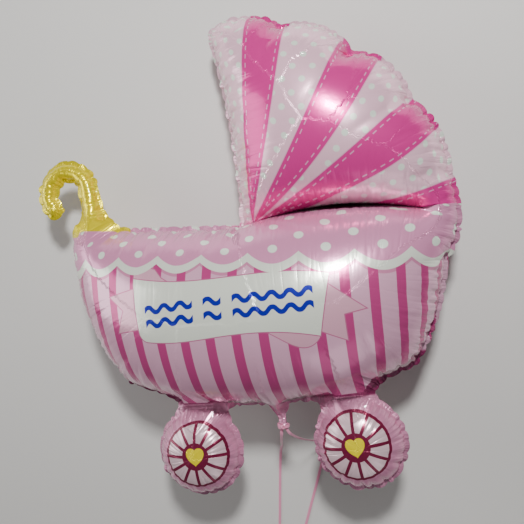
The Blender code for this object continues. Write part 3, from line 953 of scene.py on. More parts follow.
@dataclass
class Envelope:
    """The filled balloon: two foils, welded along their edge and across the body, lying on its back."""

    drawing: CarriageDrawing = field(default_factory=CarriageDrawing)
    foil_gap: float = 0.0005
    edge_wave: float = 0.0036
    edge_pull: float = 0.0042
    edge_reach: float = 0.012
    petal_length: float = 0.0185
    calm_reach: float = 0.030
    gathered_thickness: float = 0.007
    gathered_reach: float = 0.012
    rest_tilt_deg: Pair = (-6.0, -0.84)
    petal_seed: int = 12
    front_seed: int = 11
    back_seed: int = 31
    flat: FlatFoil = field(init=False)
    place: Matrix = field(init=False)

    def laid_down(self, front: Array, back: Array) -> Matrix:
        """The move that lays the drawing down where the CAD balloon lies.

        Args:
            front: Points of the front foil over the drawing plane.
            back: Points of the back foil under it.

        Returns:
            The move from the drawing to the finished place.
        """
        across, along = (math.radians(angle) for angle in self.rest_tilt_deg)
        turn = Matrix.Rotation(across, 4, "X") @ Matrix.Rotation(along, 4, "Y")
        laid = np.concatenate([front, back]) @ np.array(turn)[:3, :3].T
        low, high = (np.array(corner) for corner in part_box("balloon"))
        middle = (low + high) / 2 - (laid.min(axis=0) + laid.max(axis=0)) / 2
        return Matrix.Translation((middle[0], middle[1], high[2] - laid[:, 2].max())) @ turn

    def puckered(self, half: Array, film: Array) -> Array:
        """Both foils over the drawing plane, with their creases and the wavy edge outside the weld.

        Args:
            half: Half the depth of the gas at each point of the flat foil.
            film: Height of the film that it comes from.

        Returns:
            The points of the front foil, then those of the back foil.
        """
        points, triangles = self.flat.points, self.flat.triangles
        away, run, length = self.flat.along_seam()
        outside = self.drawing.seam_distance(points)
        tail = np.array(self.drawing.tail_tip)
        gathered = np.exp(-((np.linalg.norm(points - tail, axis=1) / self.gathered_reach) ** 2))
        wall = np.maximum(half + self.foil_gap / 2, gathered * self.gathered_thickness / 2)
        plain = {face: np.column_stack([points, face.value * wall]) for face in Face}
        self.place = self.laid_down(plain[Face.FRONT], plain[Face.BACK])
        from_tail = bar_distance(points, self.drawing.tail_top, self.drawing.tail_tip, 0, 0)
        calm = np.clip(from_tail / self.calm_reach, 0, 1)
        petals = CreaseRow(self.petal_length, 1.0, 1.0, self.petal_seed)
        near = np.exp(-np.maximum(-outside, 0) / self.edge_reach) * calm
        inward = -self.drawing.outward(self.drawing.seam_distance, points)
        drawn = inward * (self.edge_pull * near * petals.pulls(run, length))[:, None]
        flange = np.clip(outside / self.drawing.seam_width, 0, 1) * calm
        sway = self.edge_wave * flange * petals.petals(run, length)
        foils = []
        for face, seed in ((Face.FRONT, self.front_seed), (Face.BACK, self.back_seed)):
            order = triangles if face is Face.FRONT else triangles[:, ::-1]
            sink = Puckers(self.flat, seed).sink(away * (outside < 0), run, length, half, film)
            moved = plain[face] - point_normals(plain[face], order) * sink[:, None]
            moved[:, :2] += drawn
            moved[:, 2] += sway
            foils.append(moved)
        return np.concatenate(foils)

    def weld_coordinates(self) -> Array:
        """Where the foil's points lie beside the welds.

        Returns:
            Place along the nearest weld, distance from it and distance outside the edge weld.
        """
        away, run, length = self.flat.along_seam()
        gap, place, _ = self.flat.along_cross_weld()
        nearer = gap < away
        outside = self.drawing.seam_distance(self.flat.points)
        return np.column_stack([
            np.where(nearer, length + place, run), np.where(nearer, gap, away), outside,
        ])

    def build(self) -> bpy.types.Object:
        """Fills, puckers and lays down the foil.

        Returns:
            The balloon, with its print coordinates as attributes.
        """
        self.flat = FlatFoil(self.drawing)
        self.flat.build()
        filling = GasFilling(self.flat)
        film = filling.film()
        half = filling.half_depth(film)
        foils = self.puckered(half, film)
        laid = foils @ np.array(self.place)[:3, :3].T + np.array(self.place)[:3, 3]
        laid[:, 2] = np.maximum(laid[:, 2], 0)
        count = len(self.flat.points)
        front = [tuple(t) for t in self.flat.triangles.tolist()]
        links = {pair for a, b, c in front for pair in ((a, b), (b, c), (c, a))}
        rim = [(b, a, a + count, b + count) for a, b in sorted(links) if (b, a) not in links]
        back = [(c + count, b + count, a + count) for a, b, c in front]
        mesh = bpy.data.meshes.new("foil_balloon")
        mesh.from_pydata(laid.tolist(), [], front + back + rim)
        carried = UnrolledPrint(self.flat, half).coordinates()
        carried["weld"] = self.weld_coordinates()
        carried["drawing"] = np.column_stack([self.flat.points, np.zeros(count)])
        for name, values in carried.items():
            layer = mesh.attributes.new(name, "FLOAT_VECTOR", "POINT")
            layer.data.foreach_set("vector", np.tile(values, (2, 1)).astype(np.float32).ravel())
        mesh.shade_smooth()
        made = bpy.data.objects.new("foil_balloon", mesh)
        bpy.context.scene.collection.objects.link(made)
        return made


class Shade:
    """A number in a material that Python expressions can work with."""

    def __init__(self, bench: NodeBench, socket: bpy.types.NodeSocket) -> None:
        """Wraps one output socket of the bench's tree."""
        self.bench = bench
        self.socket = socket

    def math(self, operation: str, *others: Shade | float, first: float | None = None,
             clamp: bool = False) -> Shade:
        """Adds a Math node.

        Args:
            operation: The node's operation.
            others: What follows this value.
            first: What comes before it.
            clamp: Whether the result is kept between 0 and 1.

        Returns:
            The node's result.
        """
        values = [self, *others] if first is None else [first, self, *others]
        settings = {"operation": operation, "use_clamp": clamp}
        node = self.bench.add("ShaderNodeMath", settings, dict(enumerate(values)))
        return Shade(self.bench, node.outputs[0])

    def __add__(self, other: Shade | float) -> Shade:
        """Sum."""
        return self.math("ADD", other)

    __radd__ = __add__

    def __mul__(self, other: Shade | float) -> Shade:
        """Product."""
        return self.math("MULTIPLY", other)

    __rmul__ = __mul__

    def __sub__(self, other: Shade | float) -> Shade:
        """Difference."""
        return self.math("SUBTRACT", other)

    def __rsub__(self, other: float) -> Shade:
        """Difference from a number."""
        return self.math("SUBTRACT", first=other)

    def __truediv__(self, other: Shade | float) -> Shade:
        """Quotient."""
        return self.math("DIVIDE", other)

    def __mod__(self, other: float) -> Shade:
        """Rest of a division, never negative."""
        return self.math("FLOORED_MODULO", other)

    def __abs__(self) -> Shade:
        """Size without sign."""
        return self.math("ABSOLUTE")

    def power(self, exponent: float) -> Shade:
        """This value raised to a power."""
        return self.math("POWER", exponent)

    def root(self) -> Shade:
        """Square root of this value."""
        return self.math("SQRT")

    def sine(self) -> Shade:
        """Sine of this angle in radians."""
        return self.math("SINE")

    def floor(self) -> Shade:
        """The next whole number below."""
        return self.math("FLOOR")

    def least(self, other: Shade | float) -> Shade:
        """The lesser of two values."""
        return self.math("MINIMUM", other)

    def most(self, other: Shade | float) -> Shade:
        """The greater of two values."""
        return self.math("MAXIMUM", other)

    def under(self, limit: Shade | float, blur: float = EDGE_BLUR) -> Shade:
        """Mask of the places where this value is under a limit.

        Args:
            limit: The limit.
            blur: How far the value goes while the mask changes.

        Returns:
            1 under the limit and 0 over it.
        """
        if isinstance(limit, Shade):
            return (limit - self).math("MULTIPLY_ADD", 1 / blur, 0.5, clamp=True)
        return self.math("MULTIPLY_ADD", -1 / blur, limit / blur + 0.5, clamp=True)

    def over(self, limit: Shade | float, blur: float = EDGE_BLUR) -> Shade:
        """Mask of the places where this value is over a limit.

        Args:
            limit: The limit.
            blur: How far the value goes while the mask changes.

        Returns:
            1 over the limit and 0 under it.
        """
        if isinstance(limit, Shade):
            return (self - limit).math("MULTIPLY_ADD", 1 / blur, 0.5, clamp=True)
        return self.math("MULTIPLY_ADD", 1 / blur, 0.5 - limit / blur, clamp=True)

    def between(self, low: Shade | float, high: Shade | float, blur: float = EDGE_BLUR) -> Shade:
        """1 where this value is between two limits."""
        return self.over(low, blur) * self.under(high, blur)


class Tint:
    """A colour in a material, built up in layers."""

    def __init__(self, bench: NodeBench, socket: bpy.types.NodeSocket) -> None:
        """Wraps one colour socket of the bench's tree."""
        self.bench = bench
        self.socket = socket

    def printed(self, mask: Shade, over: Tint | Colour) -> Tint:
        """Lays an ink or another print over this colour.

        Args:
            mask: 1 where it is laid on and 0 where it is not.
            over: The ink or the other print.

        Returns:
            The printed colour.
        """
        inputs = {"Factor": mask, "A_Color": self, "B_Color": over}
        node = self.bench.add("ShaderNodeMix", {"data_type": "RGBA"}, inputs)
        result = next(output for output in node.outputs if output.type == "RGBA")
        return Tint(self.bench, result)


Feed = Shade | Tint | bpy.types.NodeSocket | tuple[float, ...] | float


class NodeBench:
    """Adds the nodes of one material."""

    def __init__(self, name: str) -> None:
        """Makes a plain material with a Principled shader.

        Args:
            name: The material's name.
        """
        self.material = bpy.data.materials.new(name)
        self.material.use_nodes = True
        self.tree = self.material.node_tree
        self.shader = self.tree.nodes["Principled BSDF"]

    def connect(self, target: bpy.types.NodeSocket, value: Feed) -> None:
        """Links or sets one input socket.

        Args:
            target: The input socket.
            value: What it gets.
        """
        if isinstance(value, (Shade, Tint)):
            self.tree.links.new(value.socket, target)
        elif isinstance(value, bpy.types.NodeSocket):
            self.tree.links.new(value, target)
        elif isinstance(value, tuple) and target.type == "RGBA":
            target.default_value = (*value, 1.0)
        else:
            target.default_value = value

    def add(self, kind: str, settings: dict[str, str | bool] | None = None,
            inputs: dict[str | int, Feed] | None = None) -> bpy.types.Node:
        """Adds any node.

        Args:
            kind: The node's type.
            settings: Its own settings, which are set first.
            inputs: Values or links of its sockets, by number, by name or by identifier.

        Returns:
            The node.
        """
        node = self.tree.nodes.new(kind)
        for key, value in (settings or {}).items():
            setattr(node, key, value)
        for key, value in (inputs or {}).items():
            if isinstance(key, int):
                target = node.inputs[key]
            else:
                named = [socket for socket in node.inputs if key in (socket.identifier, socket.name)]
                target = next((socket for socket in named if socket.identifier == key), named[0])
            self.connect(target, value)
        return node

    def attribute(self, name: str) -> tuple[Shade, Shade, Shade]:
        """Reads one of the piece's own attributes.

        Args:
            name: The attribute's name.

        Returns:
            Its three numbers.
        """
        source = self.add("ShaderNodeAttribute", {"attribute_name": name})
        parts = self.add("ShaderNodeSeparateXYZ", {}, {0: source.outputs["Vector"]})
        return tuple(Shade(self, output) for output in parts.outputs)

    def colour(self, ground: Colour) -> Tint:
        """A plain colour to print on.

        Args:
            ground: The colour.

        Returns:
            The same, as a layer.
        """
        node = self.add("ShaderNodeRGB")
        node.outputs[0].default_value = (*ground, 1.0)
        return Tint(self, node.outputs[0])

    def noise(self, scale: float, detail: float = 3.0, stretch: Place = (1, 1, 1)) -> Shade:
        """Noise on the object's own coordinates.

        Args:
            scale: Grains to a metre.
            detail: How many finer layers it has.
            stretch: How much finer it is along X, Y and Z.

        Returns:
            The noise, round 0.5.
        """
        place = self.add("ShaderNodeTexCoord").outputs["Object"]
        mapped = self.add("ShaderNodeMapping", {}, {"Vector": place, "Scale": stretch})
        grain = self.add("ShaderNodeTexNoise", {}, {0: mapped.outputs[0], "Scale": scale, "Detail": detail})
        return Shade(self, grain.outputs[0])

    def bump(self, height: Shade, strength: float, distance: float) -> bpy.types.NodeSocket:
        """Turns heights into a bump.

        Args:
            height: The height at each place, from about -1 to 1.
            strength: How strongly it shows.
            distance: What a height of 1 is in metres.

        Returns:
            The bump, for the shader's normal.
        """
        inputs = {"Strength": strength, "Distance": distance, "Height": height}
        return self.add("ShaderNodeBump", {}, inputs).outputs[0]

    def surface(self, **values: Feed) -> None:
        """Sets or links sockets of the shader, named with underscores for spaces."""
        for name, value in values.items():
            self.connect(self.shader.inputs[name.replace("_", " ")], value)


def ink(red: int, green: int, blue: int) -> Colour:
    """A colour as light, from its screen values between 0 and 255."""
    parts = [value / 255 for value in (red, green, blue)]
    return tuple(part / 12.92 if part <= 0.04045 else ((part + 0.055) / 1.055) ** 2.4 for part in parts)


def beside(u: Shade, v: Shade, first: Pair, second: Pair) -> Shade:
    """Distance from the line through two points.

    Args:
        u: First print coordinate.
        v: Second print coordinate.
        first: Point that the line comes from.
        second: Point that it goes to.

    Returns:
        The distance, positive to the left of the line's way.
    """
    span = math.hypot(second[0] - first[0], second[1] - first[1])
    side = ((first[1] - second[1]) / span, (second[0] - first[0]) / span)
    return u * side[0] + v * side[1] - (first[0] * side[0] + first[1] * side[1])


@dataclass(frozen=True)
class CarriageInks:
    """The colours of the print, and the painted shade of the deep crease between hood and basket."""

    hood_pink: Colour = ink(255, 204, 222)
    band_pink: Colour = ink(228, 150, 190)
    side_pink: Colour = ink(234, 178, 204)
    magenta: Colour = ink(226, 56, 150)
    stripe: Colour = ink(196, 70, 134)
    stitch: Colour = ink(240, 166, 204)
    dot_green: Colour = ink(244, 255, 240)
    cream: Colour = ink(238, 242, 228)
    shadow_pink: Colour = ink(200, 106, 150)
    ribbon_pink: Colour = ink(232, 174, 194)
    # painted shade: the dark colour laid along the deep crease between hood and basket, where shade falls
    valley: Colour = ink(60, 8, 34)
    hem: Colour = ink(146, 44, 98)
    blue: Colour = ink(20, 30, 166)
    yellow: Colour = ink(255, 236, 0)
    maroon: Colour = ink(122, 24, 62)
    spoke_ground: Colour = ink(236, 204, 212)
    tyre_pink: Colour = ink(222, 148, 182)


@dataclass(frozen=True)
class HoodDots:
    """Round dots in staggered rows, which bend a little where the foil is drawn tight."""

    pitch: float = 0.0298
    row_pitch: float = 0.0213
    radius: float = 0.0050
    first: Pair = (-0.0120, 0.0180)
    slope: float = 0.142
    bend: float = -1.1
    shear: float = -0.10
    shear_start: float = 0.030
    blur: float = 0.0012

    def mask(self, bench: NodeBench) -> Shade:
        """Mask of the dots.

        Args:
            bench: Where the material's nodes are made.

        Returns:
            1 on the dots and 0 between them.
        """
        across, up, _ = bench.attribute("hood")
        level = across * across * self.bend + across * self.slope + up
        moved = (level - self.shear_start).most(0.0) * self.shear + across
        high = (level - self.first[1]) / self.row_pitch + 0.5
        row = high.floor()
        offset = (((moved - self.first[0]) / self.pitch + row * 0.5 + 0.5) % 1.0 - 0.5) * self.pitch
        height = (high - row - 0.5) * self.row_pitch
        return (offset * offset + height * height).root().under(self.radius, self.blur)


@dataclass(frozen=True)
class StripeEdge:
    """One edge of a fan stripe, which turns upwards as it runs out."""

    degrees: float
    turn_per_metre: float = 0.0
    bend: float = 0.0
    bend_start: float = 0.20

    def direction(self, radius: Shade) -> Shade:
        """The edge's direction at a distance from the fan's point, in radians."""
        past = (radius - self.bend_start).most(0.0)
        turn = radius * math.radians(self.turn_per_metre) + past * past * math.radians(self.bend)
        return turn + math.radians(self.degrees)


@dataclass(frozen=True)
class FanPrint:
    """Broad stripes with stitched edges that spread from one point, over dots.

    Each stripe is given by its upper and its lower edge.
    """

    stripes: tuple[tuple[StripeEdge, StripeEdge], ...] = (
        (StripeEdge(82.5, 7.0), StripeEdge(61.0, 38.0)),
        (StripeEdge(42.0, 46.0), StripeEdge(21.5, 71.0)),
        (StripeEdge(17.5, 41.0), StripeEdge(4.4, 36.0, 240.0)),
        (StripeEdge(2.0, 0.0, 240.0), StripeEdge(-30.0)),
    )
    piping: float = 0.0012
    stitch_inset: float = 0.0058
    stitch_width: float = 0.0018
    stitch_pitch: float = 0.0145
    stitch_share: float = 0.52
    stitch_blur: float = 0.06
    line_blur: float = 0.0006

    def lay(self, colour: Tint, bench: NodeBench, inks: CarriageInks) -> Tint:
        """Prints the fan.

        Args:
            colour: What it is printed on.
            bench: Where the material's nodes are made.
            inks: The colours.

        Returns:
            The printed colour.
        """
        angle, length, radius = bench.attribute("fan")
        colour = colour.printed(HoodDots().mask(bench), inks.dot_green)
        stitch = (length / self.stitch_pitch % 1.0).under(self.stitch_share, self.stitch_blur)
        for upper, lower in self.stripes:
            below = (upper.direction(radius) - angle) * radius
            inside = below.least((angle - lower.direction(radius)) * radius)
            colour = colour.printed(inside.over(-self.piping), inks.stitch)
            colour = colour.printed(inside.over(0.0), inks.magenta)
            line = abs(inside - self.stitch_inset).under(self.stitch_width / 2, self.line_blur)
            colour = colour.printed(line * stitch, inks.stitch)
        return colour


@dataclass(frozen=True)
class ScrollFlap:
    """One flap of the scroll's ribbon, by its corners counterclockwise, the third one an inner corner."""

    corners: tuple[Pair, Pair, Pair, Pair, Pair]

    def inside(self, u: Shade, v: Shade) -> Shade:
        """How far inside the flap a place lies.

        Args:
            u: Print coordinate across the basket.
            v: Print coordinate up the basket.

        Returns:
            The distance, negative outside the flap.
        """
        ahead = self.corners[1:] + self.corners[:1]
        sides = [beside(u, v, first, second) for first, second in zip(self.corners, ahead)]
        return sides[0].least(sides[1].most(sides[2])).least(sides[3]).least(sides[4])


@dataclass(frozen=True)
class WavyStrokes:
    """Two rows of wavy strokes from one side of a field to the other."""

    first: float
    last: float
    waves: float
    amplitude: float = 0.0042
    half_width: float = 0.0036
    row_gap: float = 0.0215
    middle: float = -0.0870
    rise: float = 0.155
    line_blur: float = 0.0008
    end_blur: float = 0.0012

    def mask(self, u: Shade, v: Shade) -> Shade:
        """Mask of the strokes.

        Args:
            u: Print coordinate across the basket.
            v: Print coordinate up the basket.

        Returns:
            1 on the strokes and 0 beside them.
        """
        pace = 2 * math.pi * self.waves / (self.last - self.first)
        turn = (u - self.first) * pace
        steep = turn.math("COSINE") * (pace * self.amplitude)
        reach = (steep * steep + 1).root() * self.half_width
        line = turn.sine() * self.amplitude + u * self.rise + self.middle
        upper = abs(v - line - self.row_gap / 2).under(reach, self.line_blur)
        lower = abs(v - line + self.row_gap / 2).under(reach, self.line_blur)
        return upper.most(lower) * u.between(self.first, self.last, self.end_blur)


@dataclass(frozen=True)
class ScrollEdge:
    """The waving upper or lower edge of the scroll."""

    start: float
    swing: float
    level: float
    half_wave: float = 0.207

    def height(self, u: Shade) -> Shade:
        """Height of the edge at a place across the basket."""
        return ((u - self.start) * (math.pi / self.half_wave)).sine() * self.swing + self.level


@dataclass(frozen=True)
class ScrollPrint:
    """A blank cream scroll that waves across the basket, with a swallow-tailed ribbon end on each side."""

    top: ScrollEdge = ScrollEdge(0.0185, 0.0113, -0.0394)
    bottom: ScrollEdge = ScrollEdge(-0.0125, 0.0138, -0.1319)
    left: float = -0.1531
    left_slope: float = -0.062
    right: float = 0.1675
    right_slope: float = 0.223
    corner_radius: float = 0.013
    outline: float = 0.0016
    curl_start: float = 0.062
    curl_length: float = 0.078
    curl_depth: float = 0.0220
    curl_skew: float = 1.5
    curl_fullness: float = 0.75
    curl_overlap: float = 0.010
    curl_margin: float = 0.0018
    flaps: tuple[ScrollFlap, ...] = (
        ScrollFlap((
            (-0.140, -0.0597), (-0.197, -0.075), (-0.1715, -0.0965), (-0.1875, -0.1325), (-0.140, -0.1247),
        )),
        ScrollFlap((
            (0.140, -0.1142), (0.1785, -0.1280), (0.1772, -0.0888), (0.2094, -0.0800), (0.140, -0.0343),
        )),
        ScrollFlap((
            (-0.150, -0.056), (-0.080, -0.056), (-0.101, -0.0445), (-0.113, -0.030), (-0.150, -0.022),
        )),
    )
    strokes: tuple[WavyStrokes, ...] = (
        WavyStrokes(-0.130, -0.048, 3.0),
        WavyStrokes(-0.031, -0.002, 1.0),
        WavyStrokes(0.015, 0.136, 4.5),
    )

    def curl(self, u: Shade, v: Shade, bottom: Shade) -> Shade:
        """How far inside the curled lower edge a place lies.

        Args:
            u: Print coordinate across the basket.
            v: Print coordinate up the basket.
            bottom: The scroll's lower edge there.

        Returns:
            The distance, negative outside the curl.
        """
        share = ((u - self.curl_start) / self.curl_length).least(1.0).most(0.0).power(self.curl_skew)
        depth = (share * math.pi).sine().most(0.0).power(self.curl_fullness) * self.curl_depth
        inside = (v - bottom + depth).least(bottom - v + self.curl_overlap)
        return inside.least(depth - self.curl_margin)

    def lay(self, colour: Tint, inks: CarriageInks, u: Shade, v: Shade) -> Tint:
        """Prints the scroll.

        Args:
            colour: What it is printed on.
            inks: The colours.
            u: Print coordinate across the basket.
            v: Print coordinate up the basket.

        Returns:
            The printed colour.
        """
        top, bottom = self.top.height(u), self.bottom.height(u)
        for shape in (*(flap.inside(u, v) for flap in self.flaps), self.curl(u, v, bottom)):
            colour = colour.printed(shape.over(-self.outline), inks.shadow_pink)
            colour = colour.printed(shape.over(0.0), inks.ribbon_pink)
        aside = u - (v * self.left_slope + self.left)
        inner = (top - v).least(v - bottom).least(aside).least(v * self.right_slope + self.right - u)
        short = (self.corner_radius - aside).most(0.0)
        low = (self.corner_radius - (v - bottom)).most(0.0)
        inner = inner.least(self.corner_radius - (short * short + low * low).root())
        colour = colour.printed(inner.over(-self.outline), inks.shadow_pink)
        colour = colour.printed(inner.over(0.0), inks.cream)
        for stroke in self.strokes:
            colour = colour.printed(stroke.mask(u, v), inks.blue)
        return colour


@dataclass(frozen=True)
class BasketPrint:
    """A dotted band with a scalloped edge, upright stripes and a scroll."""

    scallop_start: float = 0.0392
    scallop_pitch: float = 0.0775
    scallop_growth: float = 0.0155
    rise: float = 0.035
    cusp_lower: float = -0.0157
    lobe_upper: float = -0.020
    lobe_lower: float = -0.0335
    shadow: float = 0.0054
    shadow_strength: float = 0.5
    dot_low: float = 0.0055
    dot_rows: float = 0.0240
    dot_radius: float = 0.0072
    stripe_start: float = 0.0165
    stripe_pitch: float = 0.0415
    stripe_width: float = 0.0150
    hem: float = 0.0090
    hem_below: float = -0.225
    hem_blur: Pair = (0.0010, 0.004)
    shadow_blur: float = 0.0008
    dot_blur: float = 0.0012

    def lay(self, colour: Tint, bench: NodeBench, inks: CarriageInks) -> Tint:
        """Prints the basket.

        Args:
            colour: What it is printed on.
            bench: Where the material's nodes are made.
            inks: The colours.

        Returns:
            The printed colour.
        """
        u, v, _ = bench.attribute("basket")
        _, y, _ = bench.attribute("drawing")
        _, away, _ = bench.attribute("weld")
        half_pitch = self.stripe_pitch / 2
        stripe = abs((u - self.stripe_start + half_pitch) % self.stripe_pitch - half_pitch)
        colour = colour.printed(stripe.under(self.stripe_width / 2), inks.stripe)
        hem = away.under(self.hem, self.hem_blur[0]) * y.under(self.hem_below, self.hem_blur[1])
        colour = colour.printed(hem, inks.hem)
        level = v - u * self.rise
        step = (u - self.scallop_start) / self.scallop_pitch
        place = step - step * step * self.scallop_growth
        part = place % 1.0 * 2 - 1
        lobe = 1 - part * part
        upper = lobe * self.lobe_upper
        lower = lobe * (self.lobe_lower - self.cusp_lower) + self.cusp_lower
        shadow = level.over(lower - self.shadow, self.shadow_blur) * self.shadow_strength
        colour = colour.printed(shadow, inks.stripe)
        colour = ScrollPrint().lay(colour, inks, u, v)
        colour = colour.printed(level.over(lower), inks.cream)
        colour = colour.printed(level.over(upper), inks.band_pink)
        high = (level - self.dot_low) / self.dot_rows + 0.5
        row = high.floor()
        offset = ((place + row * 0.5) % 1.0 - 0.5) * self.scallop_pitch
        height = (high - row - 0.5) * self.dot_rows
        dots = (offset * offset + height * height).root().under(self.dot_radius, self.dot_blur)
        return colour.printed(dots * level.over(self.dot_low - self.dot_rows / 2), inks.dot_green)


@dataclass(frozen=True)
class WheelPrint:
    """A spoked wheel with a hub disc and a heart on it."""

    centre: Pair
    ring_radius: float = 0.0526
    ring_line: float = 0.0044
    hub_radius: float = 0.0228
    spokes: int = 12
    spoke_start_deg: float = 5.0
    spoke_line: float = 0.0052
    heart_size: float = 0.0164
    heart_drop: float = 0.0030
    heart_turn_deg: float = 0.0
    heart_height: float = 1.15
    heart_lift: float = 0.62
    heart_fullness: float = 0.85
    heart_blur: float = 0.08

    def lay(self, colour: Tint, x: Shade, y: Shade, inks: CarriageInks) -> Tint:
        """Prints the wheel.

        Args:
            colour: What it is printed on.
            x: Place along the drawing's X.
            y: Place along the drawing's Y.
            inks: The colours.

        Returns:
            The printed colour.
        """
        across = x - self.centre[0]
        up = y - self.centre[1]
        radius = (across * across + up * up).root()
        disc = radius.under(self.ring_radius)
        colour = colour.printed(disc, inks.spoke_ground)
        angle = up.math("ARCTAN2", across)
        pitch = 2 * math.pi / self.spokes
        off = abs((angle - math.radians(self.spoke_start_deg)) % pitch - pitch / 2)
        spoke = (pitch / 2 - off) * radius
        colour = colour.printed(spoke.under(self.spoke_line / 2) * disc, inks.maroon)
        colour = colour.printed(abs(radius - self.ring_radius).under(self.ring_line / 2), inks.maroon)
        colour = colour.printed(radius.under(self.hub_radius), inks.maroon)
        return colour.printed(self.heart(across, up + self.heart_drop), inks.yellow)

    def heart(self, across: Shade, up: Shade) -> Shade:
        """Mask of the heart on the hub.

        Args:
            across: Place across the heart, from its middle.
            up: Place up the heart, from its middle.

        Returns:
            1 on the heart and 0 round it.
        """
        turn = math.radians(self.heart_turn_deg)
        side = abs(across * math.cos(turn) + up * math.sin(turn)) / self.heart_size
        high = (up * math.cos(turn) - across * math.sin(turn)) / self.heart_size
        lifted = high * self.heart_height - (side + 0.0001).power(0.5) * self.heart_lift
        return (side * side + lifted * lifted).under(self.heart_fullness, self.heart_blur)


@dataclass(frozen=True)
class CreaseGrain:
    """Fine creases that run away from the welds, too fine for the mesh."""

    across: float
    along: float
    fade: float
    sharpness: float = 6.0
    roundness: float = 0.6

    def height(self, bench: NodeBench) -> Shade:
        """Height of the foil in these creases.

        Args:
            bench: Where the material's nodes are made.

        Returns:
            0 between the creases and down to -1 in one.
        """
        run, away, _ = bench.attribute("weld")
        place = bench.add("ShaderNodeCombineXYZ", {}, {0: run * self.across, 1: away * self.along})
        grain = bench.add("ShaderNodeTexNoise", {}, {0: place.outputs[0], "Scale": 1.0, "Detail": 2.0})
        aside = (abs(Shade(bench, grain.outputs[0]) - 0.5) * self.sharpness).least(1.0)
        valley = 1 - aside.power(self.roundness)
        return valley * (away * (-1 / self.fade)).math("EXPONENT") * -1


@dataclass(frozen=True)
class PrintedFoil:
    """Pearly printed film: coloured inks on metallised plastic, with fine creases."""

    inks: CarriageInks = field(default_factory=CarriageInks)
    metallic: float = 0.40
    roughness: float = 0.24
    coat: float = 0.35
    coat_roughness: float = 0.05
    left_wheel: WheelPrint = WheelPrint((-0.111, -0.371), spoke_start_deg=-1.0)
    right_wheel: WheelPrint = WheelPrint((0.1545, -0.363), heart_turn_deg=8.0)
    wheel_line: float = -0.292
    wheel_blur: float = 0.004
    mouth_line: float = -0.03
    mouth_blur: float = 0.0008
    # Band of painted shade along the deep crease between hood and basket.
    crease_shade_span: Pair = (0.030, 0.305)
    crease_shade_half_width: float = 0.0038
    crease_shade_drop: float = 0.3
    crease_shade_blur: float = 0.0016
    crease_shade_fullness: float = 0.6
    handle_metallic: float = 0.60
    handle_line: float = -0.205
    rim_slope: float = -0.088
    rim_height: float = -0.0014
    stem_left: float = -0.2885
    stem_blur: float = 0.010
    stem_height: float = 0.0155
    handle_blur: float = 0.0016
    crinkle_scale: float = 60.0
    crinkle_share: float = 0.20
    creases: tuple[CreaseGrain, ...] = (
        CreaseGrain(120.0, 14.0, 0.017),
        CreaseGrain(42.0, 5.0, 0.050, 9.0),
    )
    bump_strength: float = 0.7
    bump_height: float = 0.0014

    def colour(self, bench: NodeBench) -> Tint:
        """The whole print: hood, basket, wheels and handle, with painted shade along the deep crease between
        hood and basket.

        Args:
            bench: Where the material's nodes are made.

        Returns:
            The printed colour.
        """
        inks = self.inks
        x, y, _ = bench.attribute("drawing")
        _, _, above = bench.attribute("basket")
        hood = FanPrint().lay(bench.colour(inks.hood_pink), bench, inks)
        basket = BasketPrint().lay(bench.colour(inks.side_pink), bench, inks)
        colour = basket.printed(above.over(0.0, self.mouth_blur) * x.over(self.mouth_line), hood)
        # Painted shade: a dark band along the weld across the body, under the hood's edge, fading out at
        # both ends.
        start, end = self.crease_shade_span
        share = ((x - start) / (end - start)).most(0.0).least(1.0)
        taper = (share * math.pi).sine().most(0.0).power(self.crease_shade_fullness)
        middle = self.crease_shade_half_width * self.crease_shade_drop
        deep = abs(above + middle).under(taper * self.crease_shade_half_width, self.crease_shade_blur)
        colour = colour.printed(deep * taper, inks.valley)
        wheels = self.left_wheel.lay(bench.colour(inks.tyre_pink), x, y, inks)
        wheels = self.right_wheel.lay(wheels, x, y, inks)
        colour = colour.printed(y.under(self.wheel_line, self.wheel_blur), wheels)
        return colour.printed(self.on_handle(x, y), inks.yellow)

    def on_handle(self, x: Shade, y: Shade) -> Shade:
        """Mask of the handle and the strip of basket that it stands on.

        Args:
            x: Place along the drawing's X.
            y: Place along the drawing's Y.

        Returns:
            1 on the handle and 0 elsewhere.
        """
        rim = x * self.rim_slope + self.rim_height
        lower = rim.least((x - self.stem_left).over(0.0, self.stem_blur) + self.stem_height)
        return x.under(self.handle_line) * (y - lower).over(0.0, self.handle_blur)

    def make(self) -> bpy.types.Material:
        """Mixes the finish.

        Returns:
            The material.
        """
        bench = NodeBench("printed_foil")
        crinkle = bench.noise(self.crinkle_scale) * self.crinkle_share
        for crease in self.creases:
            crinkle += crease.height(bench)
        bump = bench.bump(crinkle, self.bump_strength, self.bump_height)
        x, y, _ = bench.attribute("drawing")
        bench.surface(
            Base_Color=self.colour(bench),
            Metallic=self.on_handle(x, y) * (self.handle_metallic - self.metallic) + self.metallic,
            Roughness=self.roughness,
            Coat_Weight=self.coat,
            Coat_Roughness=self.coat_roughness,
            Normal=bump,
        )
        return bench.material


@dataclass(frozen=True)
class RibbonSatin:
    """Pale pink curling ribbon with fine ribs along it, and painted highlights that follow the ribs."""

    colour: Colour = ink(226, 134, 170)
    # painted highlight: the paler pink mixed in along the ribs as sheen
    light: Colour = ink(246, 184, 206)
    sheen_streak_share: float = 0.35
    ribs: Place = (1500.0, 60.0, 1500.0)
    rib_height: float = 0.0003
    bump_strength: float = 0.25
    roughness: float = 0.30
    sheen: float = 0.2

    def make(self) -> bpy.types.Material:
        """Mixes the finish.

        Returns:
            The material.
        """
        bench = NodeBench("ribbon_satin")
        ribs = bench.noise(1.0, 2.0, self.ribs)
        bump = bench.bump(ribs, self.bump_strength, self.rib_height)
        # Painted highlight: the ribs' noise lightens the ribbon's colour in streaks.
        satin_with_painted_sheen = bench.colour(self.colour).printed(ribs * self.sheen_streak_share, self.light)
        bench.surface(Base_Color=satin_with_painted_sheen, Roughness=self.roughness, Sheen_Weight=self.sheen, Normal=bump)
        return bench.material


